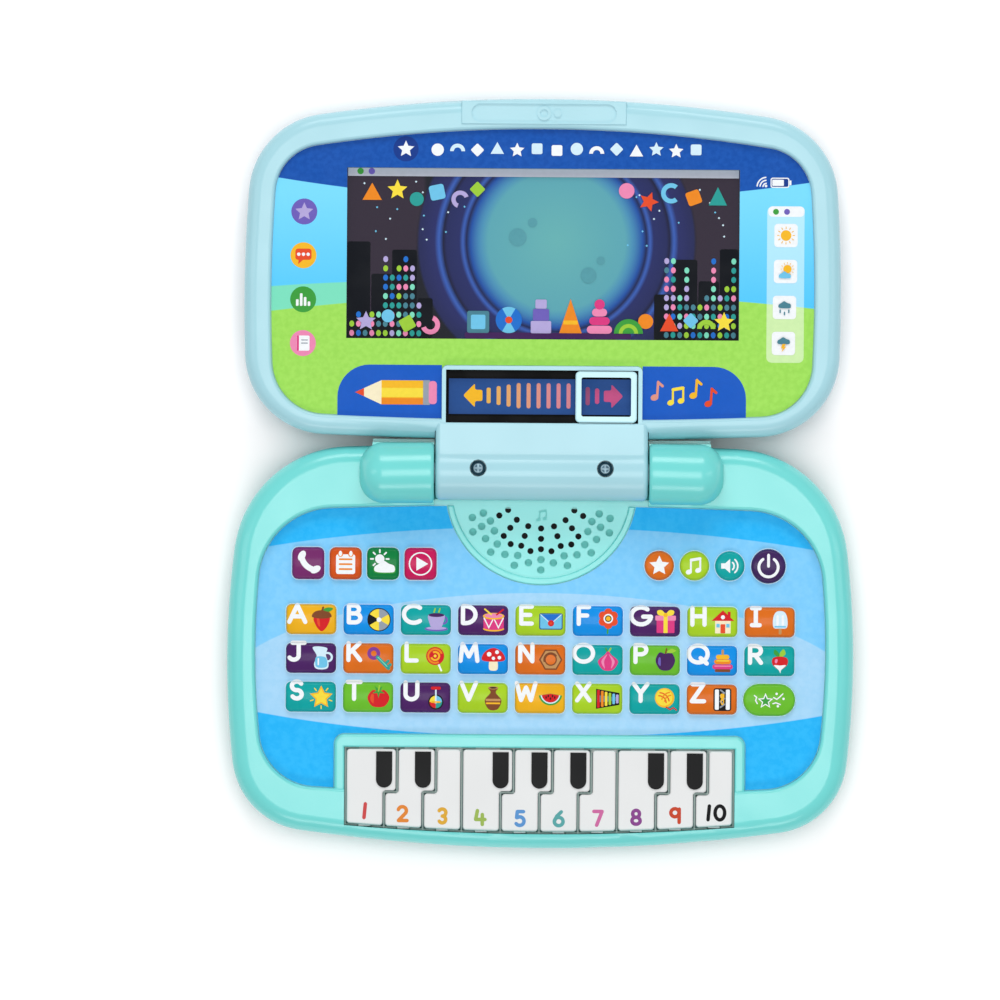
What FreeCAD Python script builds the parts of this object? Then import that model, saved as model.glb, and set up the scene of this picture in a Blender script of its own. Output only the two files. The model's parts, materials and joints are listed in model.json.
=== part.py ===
import FreeCAD, Part
import math
import os
import Sketcher
from FreeCAD import Vector

# Toy laptop computer, opened flat. Millimetres, +Z up, hinge line along X at y = 0,
# base towards -Y, lid towards +Y, underside at z = 0.

doc = FreeCAD.newDocument("toy_laptop")
dims = doc.addObject("Spreadsheet::Sheet", "dims")

DIMENSIONS = (
    # Base outline: two long arcs, two side arcs and four corner arcs
    ("base_half_width", 116.85, "half of the overall width"),
    ("base_rear_end", 11.0, "rear edge of the base behind the hinge line"),
    ("base_front_end", -139.7, "front edge of the base"),
    ("base_rear_arc", 2100, "bow of the rear edge"),
    ("base_front_arc", 645, "bow of the front edge"),
    ("base_side_arc", 332, "bow of the sides"),
    ("base_side_mid", -69.2, "widest place of the base"),
    ("base_rear_corner", 43.6, "rear corner radius"),
    ("base_front_corner", 29, "front corner radius"),
    # Heights of the base
    ("foot_height", 1, "moulded feet"),
    ("foot_radius", 6, "moulded feet"),
    ("foot_across_rear", 89.44, "rear feet from the middle"),
    ("foot_across_front", 85.14, "front feet from the middle"),
    ("base_floor", 2, "floor thickness of the bottom shell"),
    ("base_split", 12, "seam between bottom and top shell"),
    ("seam_inset", 0.3, "bottom shell stands in by this at the seam"),
    ("base_rim_top", 26, "crest of the rim"),
    ("base_rim_round", 6.5, "outer rounding of the rim"),
    ("base_under_round", 5, "rounding of the underside edge"),
    ("rim_inner_round", 1.3, "inner edge of the rims"),
    ("deck_top", 22, "deck that carries the printed film"),
    ("deck_thickness", 2, "deck plate"),
    ("base_wall", 2.4, "side walls of both base shells"),
    # Allowances that many features share
    ("root", 1, "an added form reaches this far into the wall that carries it"),
    ("overcut", 20, "a cut from outside starts this far off the surface"),
    ("through", 0.5, "a cut from inside runs this far past the far face"),
    # Key deck, set into the top shell from below
    ("deck_half", 98, "half width of the opening for the key deck"),
    ("deck_rear", -25.5, "rear edge of the opening"),
    ("deck_front", -94, "front edge of the opening"),
    ("deck_round", 4.2, "from the speaker panel to the opening round it"),
    ("deck_ledge", 2, "ledge of the top shell over the deck's flange"),
    ("deck_fit", 0.3, "play round the key deck"),
    # Printed keyboard film
    ("film_half_width", 106.4, "half width of the film"),
    ("film_rear_end", -11.7, "rear end of the film"),
    ("film_front_end", -119.6, "front end of the film"),
    ("film_rear_arc", 2100, "bow of the film's rear edge"),
    ("film_front_arc", 1500, "bow of the film's front edge"),
    ("film_side_arc", 300, "bow of the film's sides"),
    ("film_side_mid", -66, "widest place of the film"),
    ("film_rear_corner", 28, "film's rear corners"),
    ("film_front_corner", 21.5, "film's front corners"),
    ("film_thickness", 0.5, "thickness of the film"),
    ("film_gap", 0.25, "film edge to its seat"),
    # Hinge
    ("hinge_height", 27.5, "hinge line above the table"),
    ("barrel_radius", 10, "middle barrel on the lid"),
    ("barrel_half_length", 39.5, "middle barrel on the lid"),
    ("barrel_end_round", 2, "rounding of the barrel's ends"),
    ("barrel_crease", 7.5, "where the barrel turns into the slope, behind the hinge line"),
    ("slope_end", 18.4, "end of the slope behind the hinge line"),
    ("slope_rise", 0.9, "end of the slope above the hinge line"),
    ("knuckle_radius", 11.3, "outer knuckles on the base"),
    ("knuckle_inner", 40, "inner face of a knuckle from the middle"),
    ("knuckle_outer", 67.7, "outer end of a knuckle from the middle"),
    ("knuckle_dome", 9, "rounding of the outer end"),
    ("knuckle_end_round", 1.4, "rounding of a knuckle's inner end"),
    ("knuckle_foot_outer", 63, "outer side of the block under a knuckle"),
    ("knuckle_foot_front", -2, "front side of the block under a knuckle"),
    ("shelf_rear", 12.7, "rear side of the shelf behind a knuckle"),
    ("shelf_top", 16, "height of the shelf behind a knuckle"),
    ("trough_radius", 11.2, "room for the barrel in the base"),
    ("trough_rear_floor", 18.4, "base behind the trough is cut down to this height"),
    ("trough_front", -12.1, "front side of the cut"),
    ("trough_under", 14, "underside of the trough's floor"),
    ("axle_radius", 4, "stub axle"),
    ("axle_bore", 4.06, "bore in a knuckle"),
    ("axle_reach", 52, "end of a stub axle from the middle"),
    ("axle_bore_depth", 13, "bore in a knuckle"),
    ("hinge_root", 15.4, "inner face of the hinge upstand in the lid"),
    ("hinge_root_outer", 13.1, "outer face of the hinge upstand in the lid"),
    ("hinge_under", 8, "underside of the hinge arm below the hinge line"),
    ("hinge_root_low", 6, "lower end of the hinge upstand in the lid"),
    ("hinge_notch_gap", 0.3, "play round the hinge upstand"),
    # Speaker panel
    ("grille_mid", -5.8, "middle of the speaker panel"),
    ("grille_radius", 35.6, "outer radius of the speaker panel"),
    ("grille_ring", 2.4, "width of its raised ring"),
    ("grille_ring_top", 22.9, "height of its raised ring"),
    ("grille_ring_round", 0.5, "edges of its raised ring"),
    ("grille_top", 22.1, "height of its plate"),
    ("hole_radius", 1.15, "sound hole"),
    ("dimple_radius", 1.4, "blind hole"),
    ("dimple_depth", 1.2, "depth of a blind hole"),
    ("spoke_step", 19.25, "degrees between main spokes"),
    ("spoke_first", 14.6, "first hole on a main spoke"),
    ("spoke_pitch", 3.87, "hole pitch on a main spoke"),
    ("between_first", 23.4, "first hole between two main spokes"),
    ("between_pitch", 4.4, "hole pitch between two main spokes"),
    ("sound_radius", 15.85, "holes this close to the sound centre go through"),
    ("sound_mid", -16, "sound centre"),
    ("speaker_mid", -29.6, "middle of the loudspeaker"),
    ("speaker_radius", 14.6, "rim of the loudspeaker"),
    ("speaker_depth", 9, "overall depth of the loudspeaker"),
    ("speaker_gap", 0.2, "loudspeaker to the deck above it"),
    ("speaker_flange", 2, "width and height of the loudspeaker's rim"),
    ("speaker_lip", 1.5, "lip round the cone"),
    ("cone_depth", 3.5, "depth of the cone"),
    ("dust_cap_radius", 5, "middle of the cone"),
    ("dust_cap_depth", 2.5, "top of the dust cap below the rim"),
    ("magnet_radius", 8, "loudspeaker magnet"),
    ("magnet_height", 3.5, "loudspeaker magnet"),
    # Keys on the film
    ("key_width", 18.6, "letter key"),
    ("key_depth", 11.1, "letter key"),
    ("key_corner", 1.9, "letter key"),
    ("key_pitch_across", 21.35, "letter keys"),
    ("key_pitch_rows", 14.45, "letter keys"),
    ("key_first_row", -54.8, "middle of the rear letter row"),
    ("key_top", 24.1, "top of every cap"),
    ("key_round", 1.1, "rounding of a cap's top edge"),
    ("key_bottom", 20.8, "underside of a cap"),
    ("flange_width", 0.5, "flange under the film"),
    ("flange_top", 21.9, "flange under the film"),
    ("film_clearance", 0.3, "film opening round a cap"),
    ("deck_clearance", 0.3, "deck opening round a flange"),
    ("wide_key_width", 19.4, "oval key"),
    ("wide_key_depth", 11.9, "oval key"),
    ("square_key", 11.9, "square button"),
    ("square_corner", 2.2, "square button"),
    ("square_first", -86.7, "first square button"),
    ("square_pitch", 13.95, "square buttons"),
    ("round_key_radius", 5.45, "round button"),
    ("round_first", 44.1, "first round button"),
    ("round_pitch", 13.15, "round buttons"),
    ("power_radius", 6.4, "power button"),
    ("power_across", 84.8, "power button"),
    ("button_row", -33.9, "row of square and round buttons"),
    # Piano
    ("piano_frame_half", 76.5, "raised frame"),
    ("piano_frame_rear", -97.4, "raised frame"),
    ("piano_frame_front", -130, "raised frame"),
    ("piano_frame_corner", 3.7, "raised frame"),
    ("piano_frame_top", 25, "raised frame"),
    ("piano_frame_round", 1.2, "outer edge of the raised frame"),
    ("well_round", 0.7, "edge of the opening for the piano keys"),
    ("well_half", 72.7, "opening for the piano keys"),
    ("well_rear", -102.2, "opening for the piano keys"),
    ("well_front", -134.3, "opening for the piano keys"),
    ("well_arc", 900, "bow of the opening's front"),
    ("piano_half", 71.8, "outer side of the end keys"),
    ("piano_gap", 1.05, "between two keys"),
    ("piano_rear", -102.9, "rear end of the keys"),
    ("piano_step_line", -118.9, "where the sides step across"),
    ("piano_step", 4.85, "step of the sides"),
    ("piano_front", -133.4, "front end of the middle keys"),
    ("piano_top", 24.6, "top of the keys"),
    ("piano_thickness", 3, "keys"),
    ("piano_round", 0.7, "top edge of the keys"),
    ("piano_corner", 1.2, "corners of the keys"),
    ("inlay_width", 6, "black inlay"),
    ("inlay_rear", -103.8, "black inlay"),
    ("inlay_front", -117.3, "black inlay"),
    ("inlay_rise", 0.35, "black inlay"),
    ("pivot_line", -100.4, "pivot rod of the piano keys"),
    ("pivot_height", 21.3, "pivot rod of the piano keys"),
    ("pivot_radius", 1, "pivot rod of the piano keys"),
    ("pivot_reach", 73.6, "pivot rod of the piano keys"),
    ("saddle_bore", 1.06, "saddle on the rod"),
    ("saddle_radius", 1.7, "saddle on the rod"),
    ("saddle_width", 9, "saddle on the rod"),
    ("saddle_cut", 20.9, "the saddle is open below this height"),
    ("pivot_room_top", 23.6, "ceiling over the rod"),
    ("pivot_room_rear", -98.3, "room round the rod"),
    ("front_tab_width", 4.4, "tab at the front of a key"),
    ("front_tab_reach", 0.6, "tab at the front of a key"),
    ("front_tab_height", 1.2, "tab at the front of a key"),
    ("saddle_lift", 0.3, "saddle arm above the underside of a key"),
    # Inside of the base
    ("board_half", 97, "circuit board"),
    ("board_rear", -25, "circuit board"),
    ("board_front", -96, "circuit board"),
    ("board_top", 19.8, "circuit board"),
    ("board_thickness", 1.2, "circuit board"),
    ("board_notch_half", 18, "notch for the loudspeaker"),
    ("board_notch_front", -48, "notch for the loudspeaker"),
    ("chip_across", 62, "controller chip"),
    ("chip_along", -70, "controller chip"),
    ("chip_size", 14, "controller chip"),
    ("chip_height", 2.2, "controller chip"),
    ("post_radius", 4, "screw posts of the base"),
    ("post_bottom", 6.2, "screw posts of the base"),
    ("post_bore", 1.45, "screw posts"),
    ("post_bore_depth", 10, "screw posts"),
    ("boss_radius", 4.8, "screw bosses of the bottom shell"),
    ("boss_top", 6, "screw bosses of the bottom shell"),
    ("sink_radius", 3.2, "countersink for a screw head"),
    ("sink_top", 4, "countersink for a screw head"),
    ("screw_hole", 1.6, "clear hole"),
    ("post_across_rear", 104, "rear screws"),
    ("post_along_rear", -29, "rear screws"),
    ("post_across_mid", 104.5, "middle screws"),
    ("post_along_mid", -75, "middle screws"),
    ("post_across_front", 99, "front screws"),
    ("post_along_front", -113, "front screws"),
    ("bay_half", 29.5, "battery bay"),
    ("bay_rear", -46.8, "battery bay"),
    ("bay_front", -91.6, "battery bay"),
    ("bay_wall", 1.8, "battery bay"),
    ("bay_top", 17.95, "battery bay"),
    ("bay_ceiling", 0.6, "battery bay"),
    ("cell_pitch", 14.7, "places of the three cells"),
    ("cell_mid", -69.2, "place of the middle cell"),
    ("cell_height", 10.8, "axis of the cells above the table"),
    ("contact_size", 9, "battery contact plate"),
    ("contact_thickness", 0.4, "battery contact plate"),
    ("contact_gap", 0.1, "contact plate to the bay wall"),
    ("spring_wide", 3.4, "foot of a contact spring"),
    ("spring_narrow", 2.2, "tip of a contact spring"),
    ("spring_length", 3, "contact spring"),
    ("door_half", 33, "battery door seat"),
    ("door_rear", -43, "battery door seat"),
    ("door_front", -95.4, "battery door seat"),
    ("door_seat", 1.7, "battery door seat"),
    ("door_thickness", 1.5, "battery door"),
    ("door_gap", 0.3, "battery door"),
    ("door_tab_radius", 6, "battery door"),
    ("door_screw_along", -41, "battery door"),
    ("door_sink_top", 2.1, "seat of the door screw's head"),
    ("door_boss_top", 9, "boss of the door screw"),
    ("door_bore_top", 8, "bore of the door screw"),
    ("door_screw_length", 6, "shank of the door screw"),
    ("grip_half", 8, "grip grooves of the battery door"),
    ("grip_first", 3, "first grip groove from the door's edge"),
    ("grip_pitch", 2.4, "grip grooves"),
    ("grip_width", 1.2, "grip grooves"),
    ("grip_depth", 0.5, "grip grooves"),
    ("screw_head_radius", 2.8, "screws"),
    ("screw_head_height", 1.8, "screws"),
    ("screw_shank", 1.4, "screws"),
    ("screw_length", 9, "screws"),
    ("screw_root", 0.2, "shank reaches into the head by this"),
    ("cross_length", 3.64, "screw recess"),
    ("cross_width", 0.9, "screw recess"),
    ("cross_depth", 1, "screw recess"),
    # Lid outline, lying open
    ("lid_half_width", 111.2, "half width of the lid"),
    ("lid_rear_end", 139.7, "far end of the lid"),
    ("lid_front_end", 12.6, "lid edge near the hinge"),
    ("lid_rear_arc", 560, "bow of the far edge"),
    ("lid_front_arc", 2000, "bow of the edge near the hinge"),
    ("lid_side_arc", 571, "bow of the lid's sides"),
    ("lid_side_mid", 64.6, "widest place of the lid"),
    ("lid_rear_corner", 30.8, "far corners of the lid"),
    ("lid_front_corner", 30.5, "lid corners near the hinge"),
    ("lid_back", 0.5, "back of the lid above the table"),
    ("lid_back_round", 8, "back edge of the lid"),
    ("lid_floor", 2.2, "back wall of the lid"),
    ("lid_split", 14, "seam between the lid shells"),
    ("lid_rim_top", 28, "crest of the lid rim"),
    ("lid_rim_round", 5, "outer rounding of the lid rim"),
    ("lid_face", 25.5, "seat of the faceplate"),
    ("lid_plate", 2, "front plate of the lid"),
    ("lid_wall", 2.4, "side walls of both lid shells"),
    # Printed faceplate
    ("plate_half_width", 101.3, "half width of the faceplate"),
    ("plate_rear_end", 128.5, "far end of the faceplate"),
    ("plate_front_end", 19.9, "faceplate edge near the hinge"),
    ("plate_rear_arc", 540, "bow of the faceplate's far edge"),
    ("plate_front_arc", 2000, "bow of the faceplate's near edge"),
    ("plate_side_arc", 560, "bow of the faceplate's sides"),
    ("plate_side_mid", 66, "widest place of the faceplate"),
    ("plate_rear_corner", 18.5, "far corners of the faceplate"),
    ("plate_front_corner", 20, "faceplate corners near the hinge"),
    ("plate_thickness", 0.5, "thickness of the faceplate"),
    ("plate_gap", 0.25, "faceplate edge to its seat"),
    # Screen
    ("screen_half", 73.1, "screen opening"),
    ("screen_front", 50, "screen opening"),
    ("screen_rear", 113.6, "screen opening"),
    ("window_margin", 2.6, "window panel past the opening"),
    ("window_thickness", 2, "window panel"),
    # Swipe slider
    ("slot_frame_half", 37.3, "raised frame round the slot"),
    ("slot_frame_rear", 40, "raised frame round the slot"),
    ("slot_frame_front", 14, "raised frame round the slot"),
    ("slot_frame_corner", 2, "raised frame round the slot"),
    ("slot_half", 35.8, "slot"),
    ("slot_front", 18.8, "slot"),
    ("slot_rear", 38.5, "slot"),
    ("track_half", 34.9, "track in the slot"),
    ("track_front", 21.9, "track in the slot"),
    ("track_rear", 35.4, "track in the slot"),
    ("track_top", 25, "track in the slot"),
    ("slider_width", 22.9, "slider"),
    ("slider_height", 19, "slider"),
    ("slider_corner", 1.6, "slider"),
    ("slider_border", 2.2, "slider"),
    ("slider_rest", 23.85, "slider at the right-hand end"),
    ("slider_mid", 28.65, "slider"),
    ("slider_top", 29, "slider, proud of its frame so that a finger can push it"),
    ("slider_round", 0.6, "top edge of the slider"),
    ("slider_under", 25.4, "underside of the slider frame"),
    ("leg_thickness", 1.4, "legs of the slider"),
    ("leg_foot", 20.6, "lower end of the legs"),
    ("leg_inset", 1.5, "legs from the ends of the slider"),
    ("runner_top", 22.8, "runners behind the front plate"),
    ("runner_reach", 1.8, "runners behind the front plate"),
    # Camera bar in the top rim
    ("bar_half", 30.7, "bar"),
    ("bar_front", 129.9, "bar"),
    ("bar_rear", 138.6, "bar"),
    ("bar_top", 28.5, "bar"),
    ("bar_round", 0.4, "bar"),
    ("pill_half", 27, "recess in the bar"),
    ("pill_radius", 3.5, "recess in the bar"),
    ("pill_along", 134.1, "recess in the bar"),
    ("pill_depth", 0.6, "recess in the bar"),
    ("lens_radius", 2.6, "ring in the recess"),
    ("lens_inner", 1.5, "ring in the recess"),
    ("lens_rise", 0.5, "ring in the recess"),
    ("small_lens_across", 5.1, "small ring"),
    ("small_lens_radius", 1.4, "small ring"),
    # Lid screws
    ("lid_post_across", 97, "lid posts"),
    ("lid_post_front", 36, "lid posts"),
    ("lid_post_rear", 117, "lid posts"),
    ("lid_post_top_along", 125.5, "middle lid post"),
    ("lid_boss_top", 6, "lid bosses"),
    ("lid_post_bottom", 6.2, "lid posts"),
    ("hinge_screw_across", 23.6, "hinge screws"),
    ("hinge_screw_along", 1.9, "hinge screws"),
    ("hinge_screw_seat", 33.4, "hinge screws"),
    ("hinge_sink_radius", 3.15, "hinge screws"),
    ("hinge_screw_length", 11, "hinge screws"),
    ("hinge_bore_depth", 7, "hinge screws"),
)

for row, (alias, value, meaning) in enumerate(DIMENSIONS, 1):
    dims.set(f"A{row}", meaning)
    dims.set(f"B{row}", str(value))
    dims.setAlias(f"B{row}", alias)
doc.recompute()

LETTERS_BY_ROW = ("abcdefghi", "jklmnopqr", "stuvwxyz")
SQUARE_KEYS = ("phone", "calendar", "weather", "play")
ROUND_KEYS = ("round_a", "round_b", "round_c")
PIANO_INLAYS = (True, True, False, True, True, True, False, True, True, False)
CELLS = 3
GRIP_GROOVES = 4
HALF_TURNS = 7
SPOKE_HOLES = 5
BETWEEN_HOLES = 2
MIDDLE_COLUMN = 4
UP = Vector(0, 0, 1)
TINY = 1e-4
SHORT = 0.1
MARGIN = 1


def size(alias):
    """Number held by one cell of the sheet."""
    return float(dims.get(alias))


class Piece:
    """A moulded piece: one body, built feature by feature and measured after each one."""

    def __init__(self, label):
        self.body = doc.addObject("PartDesign::Body", label)
        self.body.Label = label
        self.number = 0

    def name(self, word):
        self.number += 1
        return f"{self.body.Name}_{self.number}_{word}"

    def sketch(self, word, level=None, plane="XY_Plane"):
        sketch = self.body.newObject("Sketcher::SketchObject", self.name(word))
        origin = self.body.Origin.OriginFeatures
        support = next(feature for feature in origin if feature.Role == plane)
        sketch.AttachmentSupport = [(support, "")]
        sketch.MapMode = "FlatFace"
        if level:
            sketch.setExpression("AttachmentOffset.Base.z", level)
        return sketch

    def volume(self):
        tip = self.body.Tip
        return tip.Shape.Volume if tip else 0.0

    def add(self, kind, sketch, length):
        before = self.volume()
        feature = self.body.newObject(f"PartDesign::{kind}", self.name(kind.lower()))
        feature.Profile = sketch
        feature.setExpression("Length", length)
        doc.recompute()
        change = self.volume() - before
        if (kind == "Pad" and change <= 0) or (kind == "Pocket" and change >= 0):
            raise ValueError(f"{feature.Name} changed the volume by {change}")
        return feature

    def pad(self, sketch, length):
        return self.add("Pad", sketch, length)

    def pocket(self, sketch, length):
        return self.add("Pocket", sketch, length)

    def revolve(self, sketch):
        feature = self.body.newObject("PartDesign::Revolution", self.name("revolution"))
        feature.Profile = sketch
        feature.ReferenceAxis = (sketch, ["H_Axis"])
        feature.Angle = 360
        doc.recompute()
        return feature

    def fillet(self, chosen, radius):
        tip = self.body.Tip
        edges = tip.Shape.Edges
        names = [f"Edge{number}" for number, edge in enumerate(edges, 1) if chosen(edge)]
        if not names:
            raise ValueError(f"{self.body.Name} has no edge to round")
        feature = self.body.newObject("PartDesign::Fillet", self.name("fillet"))
        feature.Base = (tip, names)
        feature.setExpression("Radius", radius)
        doc.recompute()
        return feature


def level_edges(height):
    """Test for edges that lie at one height."""
    def chosen(edge):
        extent = edge.BoundBox
        return abs(extent.ZMin - height) < TINY and abs(extent.ZMax - height) < TINY
    return chosen


def upright_edges(edge):
    """Test for straight edges that stand along Z."""
    extent = edge.BoundBox
    return extent.XLength < TINY and extent.YLength < TINY and extent.ZLength > SHORT


def end_edge(edge):
    """Test for edges round the ends of the hinge barrel."""
    extent = edge.BoundBox
    reach = max(abs(extent.XMin), abs(extent.XMax))
    return extent.XLength < TINY and abs(reach - size("barrel_half_length")) < TINY


def meeting_point(centre_a, reach_a, centre_b, reach_b, side):
    """Where two circles cross, on the side that the given direction points to."""
    across = centre_b - centre_a
    span = across.Length
    along = (reach_a ** 2 - reach_b ** 2 + span ** 2) / (2 * span)
    height = math.sqrt(reach_a ** 2 - along ** 2)
    middle = centre_a + across * (along / span)
    normal = Vector(-across.y, across.x, 0) * (height / span)
    return middle + normal if normal.dot(side) > 0 else middle - normal


def outline(sketch, prefix, inset=None):
    """Closed outline of eight tangent arcs: two sides, two ends and four corners."""
    def value(name):
        return size(f"{prefix}_{name}")

    def angle(start, end):
        return math.atan2(end.y - start.y, end.x - start.x)

    less = size(inset) if inset else 0.0
    minus = f" - dims.{inset}" if inset else ""
    right = Vector(value("half_width") - value("side_arc"), value("side_mid"), 0)
    left = Vector(-right.x, right.y, 0)
    rear = Vector(0, value("rear_end") - value("rear_arc"), 0)
    front = Vector(0, value("front_end") + value("front_arc"), 0)

    def corner(end, end_arc, radius, side):
        centre = meeting_point(
            end, value(end_arc) - value(radius), right, value("side_arc") - value(radius), side)
        return centre

    rear_right = corner(rear, "rear_arc", "rear_corner", Vector(1, 1, 0))
    front_right = corner(front, "front_arc", "front_corner", Vector(1, -1, 0))
    rear_left = Vector(-rear_right.x, rear_right.y, 0)
    front_left = Vector(-front_right.x, front_right.y, 0)
    arcs = (
        (right, "side_arc", front_right, rear_right),
        (rear_right, "rear_corner", right, rear),
        (rear, "rear_arc", rear_right, rear_left),
        (rear_left, "rear_corner", rear, left),
        (left, "side_arc", rear_left, front_left),
        (front_left, "front_corner", left, front),
        (front, "front_arc", front_left, front_right),
        (front_right, "front_corner", front, right),
    )
    for centre, radius, start, end in arcs:
        is_corner = radius.endswith("corner")
        first = angle(start, centre) if is_corner else angle(centre, start)
        last = angle(end, centre) if is_corner else angle(centre, end)
        if last < first:
            last += 2 * math.pi
        circle_of_arc = Part.Circle(centre, UP, value(radius) - less)
        sketch.addGeometry(Part.ArcOfCircle(circle_of_arc, first, last))
    count = len(arcs)
    for index in range(count):
        sketch.addConstraint(Sketcher.Constraint("Tangent", index, 2, (index + 1) % count, 1))
    for index, (centre, radius, _, _) in enumerate(arcs):
        bind(sketch, Sketcher.Constraint("Radius", index, value(radius) - less),
             f"dims.{prefix}_{radius}{minus}")
    for index, sign in ((0, ""), (4, "-")):
        bind(sketch, Sketcher.Constraint("DistanceX", -1, 1, index, 3, arcs[index][0].x),
             f"{sign}(dims.{prefix}_half_width - dims.{prefix}_side_arc)")
        bind(sketch, Sketcher.Constraint("DistanceY", -1, 1, index, 3, right.y),
             f"dims.{prefix}_side_mid")
    for index, sign, end in ((2, "-", "rear"), (6, "+", "front")):
        sketch.addConstraint(Sketcher.Constraint("PointOnObject", index, 3, -2))
        bind(sketch, Sketcher.Constraint("DistanceY", -1, 1, index, 3, arcs[index][0].y),
             f"dims.{prefix}_{end}_end {sign} dims.{prefix}_{end}_arc")


def bind(sketch, constraint, expression):
    """Add a constraint whose value follows the sheet."""
    number = sketch.addConstraint(constraint)
    sketch.setExpression(f"Constraints[{number}]", expression)


def band(sketch, half, front, rear):
    """Rectangle across the middle, bound to three cells."""
    across = size(half)
    low, high = size(front), size(rear)
    corners = (Vector(-across, low, 0), Vector(across, low, 0),
               Vector(across, high, 0), Vector(-across, high, 0))
    polygon(sketch, corners)
    for index, direction in enumerate(("Horizontal", "Vertical", "Horizontal", "Vertical")):
        sketch.addConstraint(Sketcher.Constraint(direction, index))
    bind(sketch, Sketcher.Constraint("DistanceX", -1, 1, 1, 1, across), f"dims.{half}")
    bind(sketch, Sketcher.Constraint("DistanceX", -1, 1, 3, 1, -across), f"-dims.{half}")
    bind(sketch, Sketcher.Constraint("DistanceY", -1, 1, 0, 1, low), f"dims.{front}")
    bind(sketch, Sketcher.Constraint("DistanceY", -1, 1, 2, 1, high), f"dims.{rear}")


def polygon(sketch, corners):
    """Closed run of straight lines through the corners."""
    first = sketch.GeometryCount
    count = len(corners)
    for index in range(count):
        sketch.addGeometry(Part.LineSegment(corners[index], corners[(index + 1) % count]))
    for index in range(count):
        sketch.addConstraint(Sketcher.Constraint(
            "Coincident", first + index, 2, first + (index + 1) % count, 1))


def box(sketch, left, right, front, rear):
    """Rectangle from four numbers."""
    polygon(sketch, (Vector(left, front, 0), Vector(right, front, 0),
                     Vector(right, rear, 0), Vector(left, rear, 0)))


def disc(sketch, across, along, radius):
    """Circle whose radius follows one cell."""
    number = sketch.addGeometry(Part.Circle(Vector(across, along, 0), UP, size(radius)))
    bind(sketch, Sketcher.Constraint("Radius", number, size(radius)), f"dims.{radius}")


def rounded(sketch, across, along, width, depth, radius):
    """Rounded rectangle round a middle point, from numbers."""
    half, high = width / 2, depth / 2
    turns = ((1, -1, -0.5), (1, 1, 0.0), (-1, 1, 0.5), (-1, -1, 1.0))
    arcs = []
    for right, up, turn in turns:
        centre = Vector(across + right * (half - radius), along + up * (high - radius), 0)
        start = turn * math.pi
        arcs.append(Part.ArcOfCircle(Part.Circle(centre, UP, radius), start, start + math.pi / 2))
    sides = []
    for arc, following in zip(arcs, arcs[1:] + arcs[:1]):
        if (following.StartPoint - arc.EndPoint).Length > TINY:
            sides.append(Part.LineSegment(arc.EndPoint, following.StartPoint))
    sketch.addGeometry(arcs + sides)


def letter_keys():
    """Name, middle across and middle along of every letter key and of the oval key."""
    for row, letters in enumerate(LETTERS_BY_ROW):
        along = size("key_first_row") - row * size("key_pitch_rows")
        for column, letter in enumerate(letters):
            yield f"key_{letter}", (column - MIDDLE_COLUMN) * size("key_pitch_across"), along
    last_row = size("key_first_row") - 2 * size("key_pitch_rows")
    yield "key_oval", MIDDLE_COLUMN * size("key_pitch_across"), last_row


def square_keys():
    for index, word in enumerate(SQUARE_KEYS):
        yield f"button_{word}", size("square_first") + index * size("square_pitch")


def round_keys():
    for index, word in enumerate(ROUND_KEYS):
        yield f"button_{word}", size("round_first") + index * size("round_pitch"), "round_key_radius"
    yield "button_power", size("power_across"), "power_radius"


def key_openings(sketch, margin):
    """One opening for every cap, wider than the cap by the margin."""
    row = size("button_row")
    for name, across, along in letter_keys():
        if name == "key_oval":
            depth = size("wide_key_depth") + 2 * margin
            rounded(sketch, across, along, size("wide_key_width") + 2 * margin, depth, depth / 2)
        else:
            rounded(sketch, across, along, size("key_width") + 2 * margin,
                    size("key_depth") + 2 * margin, size("key_corner") + margin)
    for name, across in square_keys():
        width = size("square_key") + 2 * margin
        rounded(sketch, across, row, width, width, size("square_corner") + margin)
    for name, across, radius in round_keys():
        sketch.addGeometry(Part.Circle(Vector(across, row, 0), UP, size(radius) + margin))


def deck_outline(sketch, margin):
    """Edge of the key deck, which goes round the speaker panel, wider by the margin."""
    half, front = size("deck_half") + margin, size("deck_front") - margin
    rear, middle = size("deck_rear") + margin, size("grille_mid")
    reach = size("grille_radius") + size("deck_round") - margin
    turn = math.acos((middle - rear) / reach)
    round_panel = Part.ArcOfCircle(Part.Circle(Vector(0, middle, 0), UP, reach),
                                   1.5 * math.pi - turn, 1.5 * math.pi + turn)
    sketch.addGeometry(round_panel)
    run = (round_panel.EndPoint, Vector(half, rear, 0), Vector(half, front, 0),
           Vector(-half, front, 0), Vector(-half, rear, 0), round_panel.StartPoint)
    for start, end in zip(run, run[1:]):
        sketch.addGeometry(Part.LineSegment(start, end))


def base_post_places():
    for spot in ("rear", "mid", "front"):
        for side in (-1, 1):
            yield side * size(f"post_across_{spot}"), size(f"post_along_{spot}")


def lid_post_places():
    for spot in ("front", "rear"):
        for side in (-1, 1):
            yield side * size("lid_post_across"), size(f"lid_post_{spot}")
    yield 0.0, size("lid_post_top_along")


def discs(sketch, places, radius):
    for across, along in places:
        disc(sketch, across, along, radius)


def grille_holes():
    """Places of the holes on the speaker panel: main spokes with five, spokes between with two."""
    step = math.radians(size("spoke_step"))
    for half_turn in range(-HALF_TURNS, HALF_TURNS + 1):
        turn = half_turn * step / 2
        if half_turn % 2 == 0:
            reaches = [size("spoke_first") + size("spoke_pitch") * n for n in range(SPOKE_HOLES)]
        else:
            reaches = [size("between_first") + size("between_pitch") * n for n in range(BETWEEN_HOLES)]
        for reach in reaches:
            yield reach * math.sin(turn), size("grille_mid") - reach * math.cos(turn)


def goes_through(place):
    across, along = place
    return math.hypot(across, along - size("sound_mid")) < size("sound_radius")


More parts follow.
